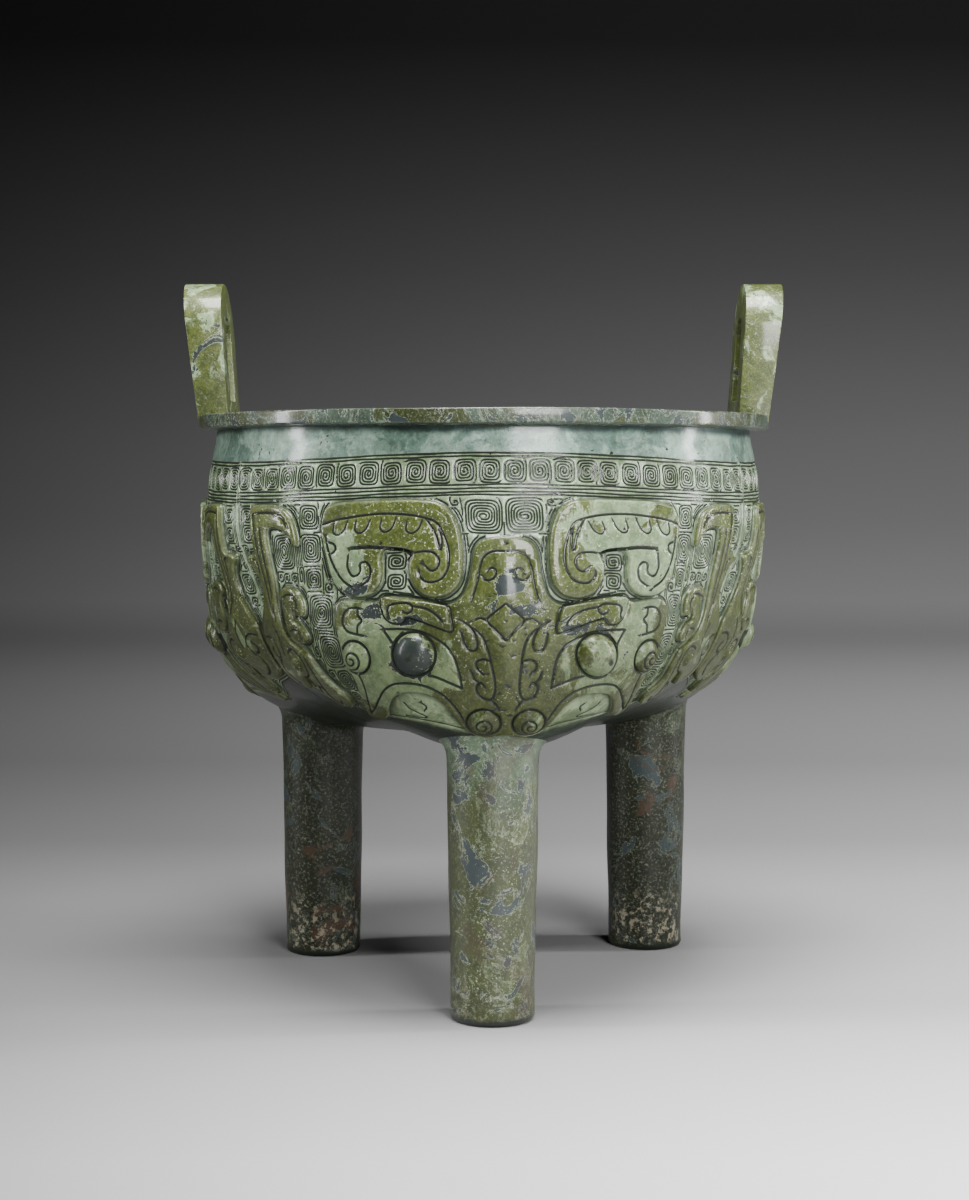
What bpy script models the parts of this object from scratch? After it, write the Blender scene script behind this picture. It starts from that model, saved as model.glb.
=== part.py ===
"""Bronze ding: a lobed bowl on three round legs, with a flat rim, two upright loop handles and cast relief.

Metres, +Z up. The origin is on the floor, on the bowl's axis. The handles stand on the X axis, and the middle
mask looks along -Y, turned slightly toward +X. Figures are drawn flat as (u, v): u is the distance around the
bowl from a mask's centre line, and v is the distance down the bowl's skin from the ornament's top line.
"""
import functools
import math

import bmesh
import bpy
import numpy as np
from mathutils import Matrix, Vector

# Driving sizes
TOTAL_HEIGHT = 0.240
BOWL_RADIUS = 0.0956
LEG_DIAMETER = 0.027
WALL = 0.004
TURN = math.radians(3.5)

# Rim
RIM_TOP = TOTAL_HEIGHT * 0.80917
RIM_RADIUS = BOWL_RADIUS * 1.0282
RIM_THICKNESS = 0.0046
RIM_EDGE = 0.0006
RIM_UNDER = RIM_TOP - RIM_THICKNESS
MOUTH_LIP = 0.0022

# Bowl: three lobes, each a circle of its own off the axis, deepest where the belly is fullest
ORNAMENT_TOP = RIM_TOP * 0.932
LOBES_START = RIM_TOP * 0.8239
BELLY_LEVEL = RIM_TOP * 0.6952
LOBES_FULL = RIM_TOP * 0.6694
BOWL_BOTTOM = RIM_TOP * 0.43
LOBE_OFFSET = BOWL_RADIUS * 0.1883
LOBE_SWELL = BOWL_RADIUS * 0.0209
TOP_LINE_DIP = 0.0014
MASK_FULLNESS = 4.2
SEAM_FULLNESS = 2.1
FULLNESS_SPREAD = math.radians(21)
LOBES = 3
SECTION = 2 * math.pi / LOBES

# The upper side from the belly up to the rim: share of the way up, and radius as a share of the bowl's
UPPER_SIDE = (
    (0, 1), (0.31, 1.001), (0.55, 0.999), (0.71, 0.9916), (0.84, 0.977), (0.92, 0.9665), (1, 0.9623))
NECK_RADIUS = BOWL_RADIUS * UPPER_SIDE[-1][1]
MOUTH_RADIUS = NECK_RADIUS - WALL - MOUTH_LIP

# Legs: distance from the axis as a share of the bowl's radius, and direction in degrees from -Y toward +X
LEG_PLACES = ((0.7134, 2.5), (0.7510, 123.3), (0.6883, 243.4))
LEG_SINK = 0.0065
LEG_TOP = BOWL_BOTTOM + LEG_SINK
LEG_TOP_RADIUS = LEG_DIAMETER / 2 + 0.00125
LEG_FLARE = 0.002
FLARE_DROP = 0.007
FOOT_EDGE = 0.0008

# Handles: both faces lean outward, the outer one more
HANDLE_WIDTH = 0.0355
HANDLE_THICKNESS = 0.0104
HANDLE_TOP_THICKNESS = 0.0132
HANDLE_LEAN = 0.0058
HANDLE_SETBACK = 0.0011
HANDLE_BEVEL = 0.0008
HANDLE_ROOT = RIM_TOP - RIM_THICKNESS / 2
LOOP_WIDTH = HANDLE_WIDTH * 0.408
LOOP_BOTTOM = RIM_TOP + 0.0055
LOOP_TOP = TOTAL_HEIGHT - 0.0115

# Figures are drawn in panel units: a section has this many across, and a mask's line this many down
PANEL_ACROSS = 199
PANEL_DOWN = 178
UNIT = BOWL_RADIUS * SECTION / PANEL_ACROSS

# Relief heights above the bowl's skin
ROOT_DEPTH = 0.0015
FACE_HEIGHT = 0.0014
NOSE_HEIGHT = 0.0025
BROW_HEIGHT = 0.0023
HORN_HEIGHT = 0.0023
DRAGON_HEIGHT = 0.0020

# Fineness: points around, rows down as shares of the upper side, and how often a figure bends
OUTSIDE_STEPS = 48
OUTSIDE_ROWS = (0.92, 0.84, 0.70, 0.51, 0.33, 0.165)
OUTSIDE_CURVE_ROWS = 9
INSIDE_STEPS = 36
INSIDE_ROWS = (0.84, 0.46, 0.24)
INSIDE_CURVE_ROWS = 6
LEG_STEPS = 20
BEND_AROUND = UNIT * 18
BEND_DOWN = UNIT * 21
FLAT_ENOUGH = math.radians(1.8)
CLEAR = 0.001
NEAR = 0.0001
SMALL_TURN = 0.02


def clear_scene():
    for old in list(bpy.data.objects):
        bpy.data.objects.remove(old)


def collection(name):
    group = bpy.data.collections.new(name)
    bpy.context.scene.collection.children.link(group)
    return group


def link_mesh(name, mesh, group):
    made = bpy.data.objects.new(name, mesh)
    group.objects.link(made)
    return made


def upper_radius(z):
    """Radius of the round upper part: the neck leans out to the shoulder, then runs almost straight."""
    up = (z - BELLY_LEVEL) / (RIM_UNDER - BELLY_LEVEL)
    return BOWL_RADIUS * np.interp(up, *zip(*UPPER_SIDE))


def lobe_angle(angle):
    """Angle from the nearest mask's centre line, between 0 and 60 degrees."""
    return np.abs((angle + SECTION / 2) % SECTION - SECTION / 2)


def bowl_radius(angle, z, inset=0.0):
    """Radius of the lobed bowl at an angle from the middle mask and a height, or of its inside."""
    angle = lobe_angle(angle)
    ease = np.clip((LOBES_START - z) / (LOBES_START - LOBES_FULL), 0, 1)
    ease = ease * ease * (3 - 2 * ease)
    offset = LOBE_OFFSET * ease
    lobe = upper_radius(z) + LOBE_SWELL * ease - inset - offset
    radius = offset * np.cos(angle) + np.sqrt(lobe ** 2 - (offset * np.sin(angle)) ** 2)
    fall = np.clip((BELLY_LEVEL - z) / (BELLY_LEVEL - BOWL_BOTTOM - inset), 0, 1)
    fullness = SEAM_FULLNESS + (MASK_FULLNESS - SEAM_FULLNESS) * np.exp(-(angle / FULLNESS_SPREAD) ** 2)
    return radius * (1 - fall ** fullness) ** (1 / fullness)


@functools.cache
def meridian(angle):
    """Distances down the skin from the ornament's top line, and the heights they lead to, at one angle."""
    start = ORNAMENT_TOP + TOP_LINE_DIP * (math.cos(LOBES * angle) - 1)
    turn = np.linspace(0, math.pi / 2, 400)
    below = BELLY_LEVEL - (BELLY_LEVEL - BOWL_BOTTOM) * np.sin(turn)
    heights = np.concatenate([np.linspace(start, BELLY_LEVEL, 60)[:-1], below])
    radii = bowl_radius(np.full_like(heights, angle), heights)
    steps = np.hypot(np.diff(radii), np.diff(heights))
    return np.concatenate([[0], np.cumsum(steps)]), heights


def on_bowl(u, v, lift, section):
    """World point for a flat (u, v) place, lifted off the bowl's skin."""
    angle = u / BOWL_RADIUS
    mask_line = meridian(0.0)[0][-1]
    down = v / UNIT * mask_line / PANEL_DOWN
    z = float(np.interp(down, *meridian(float(lobe_angle(angle)))))
    radius = float(bowl_radius(angle, z))
    slope = float(bowl_radius(angle, z + NEAR) - bowl_radius(angle, z - NEAR)) / (2 * NEAR)
    growth = float(bowl_radius(angle + SMALL_TURN, z) - bowl_radius(angle - SMALL_TURN, z)) / (2 * SMALL_TURN)
    outward = Vector((1, -growth / radius, -slope)).normalized() * lift
    world = angle + TURN + section * SECTION
    reach = radius + outward.x
    side = outward.y
    x = reach * math.sin(world) + side * math.cos(world)
    y = -reach * math.cos(world) + side * math.sin(world)
    return Vector((x, y, z + outward.z))


def turned(name, profile, steps, group):
    """Solid of revolution about Z from (radius, height) points that run down its outer side."""
    mesh = bpy.data.meshes.new(name)
    points = [(radius, 0, height) for radius, height in profile]
    mesh.from_pydata(points, [(i, i + 1) for i in range(len(points) - 1)], [])
    solid = link_mesh(name, mesh, group)
    screw = solid.modifiers.new("Turn", "SCREW")
    screw.steps = steps
    screw.render_steps = steps
    screw.use_merge_vertices = True
    screw.merge_threshold = 0.00001
    apply_modifiers(solid)
    work = bmesh.new()
    work.from_mesh(solid.data)
    for up in (1, -1):
        cap = [face for face in work.faces if len(face.verts) == 3 and face.normal.z * up > 0.9999]
        bmesh.ops.dissolve_faces(work, faces=cap)
    work.to_mesh(solid.data)
    work.free()
    return solid


def apply_modifiers(changed):
    """Replaces an object's mesh with the mesh that its modifiers give."""
    graph = bpy.context.evaluated_depsgraph_get()
    mesh = bpy.data.meshes.new_from_object(changed.evaluated_get(graph))
    changed.modifiers.clear()
    changed.data = mesh
    return changed


def boolean(base, tool, operation):
    """Joins a tool to the base, or cuts it away, and removes the tool."""
    step = base.modifiers.new(operation.title(), "BOOLEAN")
    step.operation = operation
    step.solver = "EXACT"
    step.object = tool
    apply_modifiers(base)
    bpy.data.objects.remove(tool)


def lobed(solid, inset):
    """Pushes a turned bowl's points out to the lobed shape, below the neck."""
    for vertex in solid.data.vertices:
        x, y, z = vertex.co
        round_radius = math.hypot(x, y)
        if z > RIM_UNDER - NEAR or round_radius < NEAR:
            continue
        angle = math.atan2(x, -y)
        radius = float(bowl_radius(angle, z, inset))
        world = angle + TURN
        vertex.co = (radius * math.sin(world), -radius * math.cos(world), z)
    return solid


def bowl_profile(bottom, inset, side_rows, curve_rows):
    """Round profile from the neck to the middle of the bottom, its rows closer where the bottom curves in."""
    heights = [BELLY_LEVEL + (RIM_UNDER - BELLY_LEVEL) * share for share in side_rows]
    turns = [math.pi / 2 * i / curve_rows for i in range(curve_rows)]
    heights += [BELLY_LEVEL - (BELLY_LEVEL - bottom) * math.sin(turn) for turn in turns]
    return [(float(upper_radius(height)) - inset, height) for height in heights] + [(0, bottom)]


def outer_bowl(group):
    """The bowl as a full solid, with its rim."""
    rim = [(0, RIM_TOP), (RIM_RADIUS - RIM_EDGE, RIM_TOP), (RIM_RADIUS, RIM_TOP - RIM_EDGE)]
    rim += [(RIM_RADIUS, RIM_UNDER + RIM_EDGE), (RIM_RADIUS - RIM_EDGE, RIM_UNDER)]
    rim += [(NECK_RADIUS + CLEAR, RIM_UNDER)]
    profile = rim + bowl_profile(BOWL_BOTTOM, 0, OUTSIDE_ROWS, OUTSIDE_CURVE_ROWS)
    return lobed(turned("ding_vessel", profile, OUTSIDE_STEPS, group), 0)


def cavity(group):
    """The space inside the bowl, open at the top."""
    above = RIM_TOP + CLEAR
    mouth = [(0, above), (MOUTH_RADIUS + CLEAR, above), (MOUTH_RADIUS + CLEAR, RIM_TOP)]
    mouth += [(MOUTH_RADIUS, RIM_TOP - CLEAR), (MOUTH_RADIUS, RIM_UNDER + CLEAR)]
    profile = mouth + bowl_profile(BOWL_BOTTOM + WALL, WALL, INSIDE_ROWS, INSIDE_CURVE_ROWS)
    return lobed(turned("bowl_cavity", profile, INSIDE_STEPS, group), WALL)


def leg(distance, degrees, group):
    """A round leg with a slight taper, a small flare under the bowl and a softened foot edge."""
    foot_radius = LEG_DIAMETER / 2
    profile = [(0, LEG_TOP + 2 * LEG_FLARE), (LEG_TOP_RADIUS + LEG_FLARE, LEG_TOP)]
    profile += [(LEG_TOP_RADIUS + LEG_FLARE / 3, LEG_TOP - FLARE_DROP * 0.43)]
    profile += [(LEG_TOP_RADIUS, LEG_TOP - FLARE_DROP)]
    profile += [(foot_radius, FOOT_EDGE), (foot_radius - FOOT_EDGE, 0), (0, 0)]
    solid = turned("leg", profile, LEG_STEPS, group)
    angle = math.radians(degrees)
    reach = distance * BOWL_RADIUS
    place = Matrix.Translation((reach * math.sin(angle), -reach * math.cos(angle), 0))
    solid.data.transform(place)
    return solid


def spline(curve, points, smooth):
    """Closed outline through the points, rounded between them or straight."""
    line = curve.splines.new("BEZIER")
    line.bezier_points.add(len(points) - 1)
    for knot, (a, b) in zip(line.bezier_points, points):
        knot.co = (a, b, 0)
        kind = "AUTO" if smooth else "VECTOR"
        knot.handle_left_type = kind
        knot.handle_right_type = kind
    line.use_cyclic_u = True
    line.resolution_u = 2 if smooth else 1


def slab(name, outlines, smooth, group):
    """Flat slab one metre either side of z = 0, from closed outlines; an inner outline is a hole."""
    curve = bpy.data.curves.new(name, "CURVE")
    curve.dimensions = "2D"
    curve.fill_mode = "BOTH"
    curve.extrude = 1
    for points in outlines:
        spline(curve, points, smooth)
    drawn = bpy.data.objects.new(name, curve)
    group.objects.link(drawn)
    graph = bpy.context.evaluated_depsgraph_get()
    mesh = bpy.data.meshes.new_from_object(drawn.evaluated_get(graph))
    bpy.data.objects.remove(drawn)
    work = bmesh.new()
    work.from_mesh(mesh)
    bmesh.ops.remove_doubles(work, verts=work.verts, dist=0.00002)
    bmesh.ops.recalc_face_normals(work, faces=work.faces)
    work.to_mesh(mesh)
    work.free()
    return link_mesh(name, mesh, group)


def arch(half_width, bottom, top, count):
    """Upright outline with a half-round top."""
    spring = top - half_width
    points = [(-half_width, bottom), (half_width, bottom)]
    for i in range(count + 1):
        turn = math.pi * i / count
        points.append((half_width * math.cos(turn), spring + half_width * math.sin(turn)))
    return points


def handle(side, group):
    """An upright loop: its outline is drawn facing +X, and its two faces lean outward as they rise."""
    outside = arch(HANDLE_WIDTH / 2, HANDLE_ROOT, TOTAL_HEIGHT, 10)
    inside = arch(LOOP_WIDTH / 2, LOOP_BOTTOM, LOOP_TOP, 6)
    solid = slab("handle", [outside, inside], False, group)
    outer_face = (RIM_RADIUS - HANDLE_SETBACK, RIM_RADIUS - HANDLE_SETBACK + HANDLE_LEAN)
    inner_face = (outer_face[0] - HANDLE_THICKNESS, outer_face[1] - HANDLE_TOP_THICKNESS)
    for vertex in solid.data.vertices:
        across, height, face = vertex.co
        rise = (height - RIM_TOP) / (TOTAL_HEIGHT - RIM_TOP)
        low, high = outer_face if face > 0 else inner_face
        vertex.co = (low + (high - low) * rise, across, height)
    bevel = solid.modifiers.new("Edges", "BEVEL")
    bevel.width = HANDLE_BEVEL
    bevel.segments = 1
    bevel.angle_limit = math.radians(50)
    apply_modifiers(solid)
    if side < 0:
        solid.data.transform(Matrix.Rotation(math.pi, 4, "Z"))
    return solid


def mirrored(half):
    """Closed outline from its left half, which starts and ends on the centre line."""
    inner = [point for point in half if point[0] != 0]
    return half + [(-a, b) for a, b in reversed(inner)]


def metres(points):
    """An outline in metres, from one drawn in panel units."""
    return [(a * UNIT, b * UNIT) for a, b in points]


HORN = metres([
    (-56.5, 15.5), (-38, 14), (-20, 15), (-13.8, 24), (-14.5, 37.5), (-22, 43.4), (-29.3, 37.5), (-29.5, 31),
    (-36.5, 31), (-37.5, 39), (-45, 42.8), (-54, 37)])
FACE = metres(mirrored([
    (0, 26), (-6.5, 26.5), (-9.5, 30), (-11.5, 41), (-16, 45), (-38, 44.6), (-52, 44), (-54, 47.5),
    (-52.5, 66), (-54.5, 87.5), (-46, 88.5), (-41.5, 85.5), (-37, 77), (-30.5, 73.5), (-23, 74.8),
    (-18, 80), (-14.5, 88), (-7, 89.5)]))
NOSE = metres(mirrored([
    (0, 27), (-5.5, 27.5), (-8.2, 31), (-10.5, 42), (-14.6, 46.4), (-10.5, 62), (-8.5, 74),
    (-3.2, 77.9)]))
BROW = metres([(-37.5, 45.8), (-18, 47.4), (-17, 54.2), (-26, 51.2), (-33, 51.2), (-37.2, 49.5)])
DRAGON = metres([
    (-89.5, 15), (-80, 13.8), (-73, 15.5), (-68.8, 20), (-68.4, 28.5), (-75, 22), (-81.6, 21.5), (-82.4, 44),
    (-80.5, 53), (-69.5, 61.5), (-61.5, 74.5), (-60.5, 80), (-66, 83), (-73, 80), (-75.5, 70.5), (-79.5, 70),
    (-80.5, 77), (-97, 72.5), (-97.3, 58), (-91.5, 48), (-91, 37), (-95.5, 31.2), (-90.5, 29)])
CLAW = metres([
    (-80, 42.5), (-74, 40), (-67.8, 44), (-70, 49.5), (-72.5, 50.5), (-67.6, 56.5), (-75, 56.5), (-77.5, 48)])

# Bosses: place across and down, radius and height, all in panel units, then the sides that each dome has
BOSSES = {
    "eye": ((27.7, 61.3), 6.7, 5.0, 12),
    "cheek": ((47.3, 61.8), 5.4, 3.9, 8),
    "nostril": ((7.4, 83.4), 5.2, 3.4, 8),
    "dragon_eye": ((78, 64), 4.2, 3.2, 8),
}


def figure(name, points, smooth, side, section, height, group):
    """Raised plate: a flat outline, cut on a grid so that it can bend, laid on the bowl's skin."""
    plate = slab(name, [[(side * a, b) for a, b in points]], smooth, group)
    work = bmesh.new()
    work.from_mesh(plate.data)
    bmesh.ops.dissolve_limit(work, angle_limit=0.001, verts=work.verts, edges=work.edges)
    for axis, spacing in enumerate((BEND_AROUND, BEND_DOWN)):
        along = Vector((0, 0, 0))
        along[axis] = 1
        lowest = min(vertex.co[axis] for vertex in work.verts)
        extent = max(vertex.co[axis] for vertex in work.verts) - lowest
        bends = math.ceil(extent / spacing)
        for bend in range(1, bends):
            everything = work.verts[:] + work.edges[:] + work.faces[:]
            place = along * (lowest + extent * bend / bends)
            bmesh.ops.bisect_plane(work, geom=everything, plane_co=place, plane_no=along, dist=0.00001)
    bmesh.ops.triangulate(work, faces=work.faces)
    for vertex in work.verts:
        u, v, face = vertex.co
        lift = height if face > 0 else -ROOT_DEPTH
        vertex.co = on_bowl(u, v, lift, section)
    bmesh.ops.reverse_faces(work, faces=work.faces)
    work.to_mesh(plate.data)
    work.free()
    return plate


def boss(name, side, section, group):
    """Low dome on the bowl's skin: a ball squashed along the outward direction."""
    place, radius, height, sides = BOSSES[name]
    [(u, v)] = metres([place])
    base = on_bowl(side * u, v, 0, section)
    outward = (on_bowl(side * u, v, UNIT, section) - base).normalized()
    mesh = bpy.data.meshes.new(name)
    work = bmesh.new()
    bmesh.ops.create_uvsphere(work, u_segments=sides, v_segments=6, radius=radius * UNIT)
    squash = Matrix.Diagonal((1, 1, height / radius, 1))
    lean = outward.to_track_quat("Z", "Y").to_matrix().to_4x4()
    work.transform(Matrix.Translation(base) @ lean @ squash)
    work.to_mesh(mesh)
    work.free()
    return link_mesh(name, mesh, group)


def relief(section, group):
    """One section's raised ornament: the figures on the ground, then what stands on the figures."""
    pieces = [figure("face", FACE, False, 1, section, FACE_HEIGHT, group)]
    for side in (1, -1):
        pieces.append(figure("horn", HORN, True, side, section, HORN_HEIGHT, group))
        pieces.append(figure("dragon", DRAGON, False, side, section, DRAGON_HEIGHT, group))
        pieces.append(figure("claw", CLAW, True, side, section, DRAGON_HEIGHT, group))
    pieces.append(figure("nose", NOSE, False, 1, section, NOSE_HEIGHT, group))
    for side in (1, -1):
        pieces.append(figure("brow", BROW, False, side, section, BROW_HEIGHT, group))
        pieces += [boss(name, side, section, group) for name in BOSSES]
    return pieces


def bronze():
    material = bpy.data.materials.new("patinated_bronze")
    material.use_nodes = True
    shader = material.node_tree.nodes["Principled BSDF"]
    shader.inputs["Base Color"].default_value = (0.16, 0.22, 0.12, 1)
    shader.inputs["Roughness"].default_value = 0.45
    shader.inputs["Metallic"].default_value = 0.35
    return material


def vessel():
    parts = collection("bronze_ding")
    tools = collection("tools")
    solid = outer_bowl(parts)
    for section in range(LOBES):
        boolean(solid, leg(*LEG_PLACES[section], tools), "UNION")
        for piece in relief(section, tools):
            boolean(solid, piece, "UNION")
    for side in (1, -1):
        boolean(solid, handle(side, tools), "UNION")
    boolean(solid, cavity(tools), "DIFFERENCE")
    bpy.data.collections.remove(tools)
    work = bmesh.new()
    work.from_mesh(solid.data)
    bmesh.ops.dissolve_limit(work, angle_limit=FLAT_ENOUGH, verts=work.verts, edges=work.edges)
    bmesh.ops.triangulate(work, faces=work.faces)
    work.to_mesh(solid.data)
    work.free()
    solid.data.materials.clear()
    solid.data.materials.append(bronze())
    solid.data.shade_smooth()
    solid.data.set_sharp_from_angle(angle=math.radians(35))
    return solid


clear_scene()
vessel()
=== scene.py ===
"""Looks of the bronze ding: the lobed bowl with masks, dragons and spirals, its rim, handles and legs.

Metres, +Z up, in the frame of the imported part. Ornament is drawn flat in panel units of about 1 mm: a is the
distance from a mask's centre line and v the distance down the bowl's skin from the ornament's top line.
"""

import math
import random

import bpy
import numpy as np
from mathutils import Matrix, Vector, kdtree
from mathutils.geometry import delaunay_2d_cdt


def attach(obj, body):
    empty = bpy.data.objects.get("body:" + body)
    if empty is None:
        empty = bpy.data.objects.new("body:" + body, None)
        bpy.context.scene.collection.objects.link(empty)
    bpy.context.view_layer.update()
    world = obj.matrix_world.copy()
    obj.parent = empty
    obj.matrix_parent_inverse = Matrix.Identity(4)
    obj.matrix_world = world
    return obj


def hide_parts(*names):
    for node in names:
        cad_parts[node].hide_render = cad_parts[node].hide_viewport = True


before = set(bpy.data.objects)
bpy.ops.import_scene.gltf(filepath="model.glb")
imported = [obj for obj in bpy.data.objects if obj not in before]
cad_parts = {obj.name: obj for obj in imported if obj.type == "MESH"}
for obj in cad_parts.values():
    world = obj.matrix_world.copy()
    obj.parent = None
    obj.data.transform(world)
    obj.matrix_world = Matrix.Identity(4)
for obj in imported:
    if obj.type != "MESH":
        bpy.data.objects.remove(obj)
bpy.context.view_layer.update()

# Sizes of the part
TOTAL_HEIGHT = 0.240
BOWL_RADIUS = 0.0956
LEG_DIAMETER = 0.027
WALL = 0.004
TURN = math.radians(3.5)
RIM_TOP = TOTAL_HEIGHT * 0.80917
RIM_RADIUS = BOWL_RADIUS * 1.0282
RIM_THICKNESS = 0.0046
RIM_UNDER = RIM_TOP - RIM_THICKNESS
MOUTH_LIP = 0.0022
ORNAMENT_TOP = RIM_TOP * 0.932
LOBES_START = RIM_TOP * 0.8239
BELLY_LEVEL = RIM_TOP * 0.6952
LOBES_FULL = RIM_TOP * 0.6694
BOWL_BOTTOM = RIM_TOP * 0.43
LOBE_OFFSET = BOWL_RADIUS * 0.1883
LOBE_SWELL = BOWL_RADIUS * 0.0209
TOP_LINE_DIP = 0.0014
MASK_FULLNESS = 4.2
SEAM_FULLNESS = 2.1
FULLNESS_SPREAD = math.radians(21)
LOBES = 3
SECTION = 2 * math.pi / LOBES
UPPER_SIDE = (
    (0, 1), (0.31, 1.001), (0.55, 0.999), (0.71, 0.9916), (0.84, 0.977), (0.92, 0.9665), (1, 0.9623))
NECK_RADIUS = BOWL_RADIUS * UPPER_SIDE[-1][1]
MOUTH_RADIUS = NECK_RADIUS - WALL - MOUTH_LIP
LEG_PLACES = ((0.7134, 2.5), (0.7510, 123.3), (0.6883, 243.4))
LEG_TOP_RADIUS = LEG_DIAMETER / 2 + 0.00125
HANDLE_WIDTH = 0.0355
HANDLE_THICKNESS = 0.0104
HANDLE_TOP_THICKNESS = 0.0132
HANDLE_LEAN = 0.0058
HANDLE_SETBACK = 0.0011
LOOP_WIDTH = HANDLE_WIDTH * 0.408
LOOP_BOTTOM = RIM_TOP + 0.0055
LOOP_TOP = TOTAL_HEIGHT - 0.0115

# The flat drawing of a panel
PANEL_ACROSS = 199
PANEL_DOWN = 178
UNIT = BOWL_RADIUS * SECTION / PANEL_ACROSS
HALF_PANEL = PANEL_ACROSS / 2
DRAWN_DOWN = 100
FINE_STEP = 0.8
SMALL_TURN = 0.01
NEAR = 0.0001


# The bowl's skin

def upper_radius(z):
    """Radius of the round upper part: the neck leans out to the shoulder, then runs almost straight."""
    up = (z - BELLY_LEVEL) / (RIM_UNDER - BELLY_LEVEL)
    return BOWL_RADIUS * np.interp(up, *zip(*UPPER_SIDE))


def bowl_radius(angle, z, inset=0.0):
    """Radius of the lobed bowl at an angle from the nearest mask and a height, or of its inside."""
    angle = np.abs((angle + SECTION / 2) % SECTION - SECTION / 2)
    ease = np.clip((LOBES_START - z) / (LOBES_START - LOBES_FULL), 0, 1)
    ease = ease * ease * (3 - 2 * ease)
    offset = LOBE_OFFSET * ease
    lobe = upper_radius(z) + LOBE_SWELL * ease - inset - offset
    radius = offset * np.cos(angle) + np.sqrt(lobe ** 2 - (offset * np.sin(angle)) ** 2)
    fall = np.clip((BELLY_LEVEL - z) / (BELLY_LEVEL - BOWL_BOTTOM - inset), 0, 1)
    fullness = SEAM_FULLNESS + (MASK_FULLNESS - SEAM_FULLNESS) * np.exp(-(angle / FULLNESS_SPREAD) ** 2)
    return radius * (1 - fall ** fullness) ** (1 / fullness)


def top_line(angle):
    """Height of the ornament's top line."""
    return ORNAMENT_TOP + TOP_LINE_DIP * (np.cos(LOBES * angle) - 1)


def meridian(angle):
    """Distances down the skin from the top line, and the heights they lead to, at one angle."""
    turn = np.linspace(0, math.pi / 2, 500)
    below = BELLY_LEVEL - (BELLY_LEVEL - BOWL_BOTTOM) * np.sin(turn)
    heights = np.concatenate([np.linspace(top_line(angle), BELLY_LEVEL, 80)[:-1], below])
    radii = bowl_radius(np.full_like(heights, angle), heights)
    steps = np.hypot(np.diff(radii), np.diff(heights))
    return np.concatenate([[0], np.cumsum(steps)]), heights


DOWN_STEP = 0.25
TABLE_ANGLES = np.linspace(0, SECTION / 2, 161)
MERIDIANS = [meridian(angle) for angle in TABLE_ANGLES]
DOWN_SCALE = MERIDIANS[0][0][-1] / PANEL_DOWN
DOWNS = np.arange(0, PANEL_DOWN + 1, DOWN_STEP)
HEIGHTS = np.array([np.interp(DOWNS * DOWN_SCALE, *line) for line in MERIDIANS])


def skin_height(angle, down):
    """Height of the skin at each angle and drawn distance down, read from the table of meridians."""
    row = np.clip(np.abs(angle) / (SECTION / 2), 0, 1) * (len(TABLE_ANGLES) - 1)
    column = np.clip(down / DOWN_STEP, 0, len(DOWNS) - 1.001)
    row = np.minimum(row, len(TABLE_ANGLES) - 1.001)
    r, c = row.astype(int), column.astype(int)
    across, along = row - r, column - c
    upper = HEIGHTS[r, c] * (1 - along) + HEIGHTS[r, c + 1] * along
    lower = HEIGHTS[r + 1, c] * (1 - along) + HEIGHTS[r + 1, c + 1] * along
    return upper * (1 - across) + lower * across


def on_skin(angle, z, lift, section, inset=0.0):
    """World points at panel angles and heights, lifted off the skin."""
    radius = bowl_radius(angle, z, inset)
    slope = (bowl_radius(angle, z + NEAR, inset) - bowl_radius(angle, z - NEAR, inset)) / (2 * NEAR)
    growth = bowl_radius(angle + SMALL_TURN, z, inset) - bowl_radius(angle - SMALL_TURN, z, inset)
    lean = growth / (2 * SMALL_TURN) / np.maximum(radius, NEAR)
    length = np.sqrt(1 + slope ** 2 + lean ** 2)
    reach = radius + lift / length
    side = -lift * lean / length
    world = angle + TURN + section * SECTION
    x = reach * np.sin(world) + side * np.cos(world)
    y = -reach * np.cos(world) + side * np.sin(world)
    return np.column_stack([x, y, z - lift * slope / length])


# Drawing

def evenly(line, step):
    """The same line with its points evenly spaced."""
    lengths = np.concatenate([[0], np.cumsum(np.hypot(*np.diff(line, axis=0).T))])
    count = max(2, round(lengths[-1] / step) + 1)
    places = np.linspace(0, lengths[-1], count)
    return np.column_stack([np.interp(places, lengths, line[:, axis]) for axis in (0, 1)])


# A smooth curve through four knots is blended in three rounds, each between two of the knots' places
BLEND_ROUNDS = (((0, 1), (1, 2), (2, 3)), ((0, 2), (1, 3)), ((1, 2),))
POINTS_BETWEEN_KNOTS = 10


def smooth_line(knots, closed=False, step=FINE_STEP):
    """Evenly spaced points on a smooth curve through the knots, tight where the knots are close."""
    knots = np.asarray(knots, float)
    if closed:
        padded = np.vstack([knots[-1:], knots, knots[:2]])
    else:
        padded = np.vstack([2 * knots[0] - knots[1], knots, 2 * knots[-1] - knots[-2]])
    runs = []
    for four in zip(padded, padded[1:], padded[2:], padded[3:]):
        gaps = [max(math.dist(four[i], four[i + 1]), 0.001) ** 0.5 for i in range(3)]
        at = np.concatenate([[0], np.cumsum(gaps)])
        where = np.linspace(at[1], at[2], POINTS_BETWEEN_KNOTS, endpoint=False)[:, None]
        blend = list(four)
        for spans in BLEND_ROUNDS:
            for i, (first, last) in enumerate(spans):
                low, high = at[first], at[last]
                blend[i] = ((high - where) * blend[i] + (where - low) * blend[i + 1]) / (high - low)
        runs.append(blend[0])
    line = evenly(np.vstack(runs + [padded[-2][None]]), step)
    return line[:-1] if closed else line


def sideways(line, distance, closed=False):
    """The line moved to its left by a distance, or to its right by a negative one."""
    if closed:
        along = np.roll(line, -1, axis=0) - np.roll(line, 1, axis=0)
    else:
        along = np.gradient(line, axis=0)
    along /= np.maximum(np.hypot(*along.T), 1e-9)[:, None]
    return line + np.column_stack([along[:, 1], -along[:, 0]]) * distance


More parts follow.
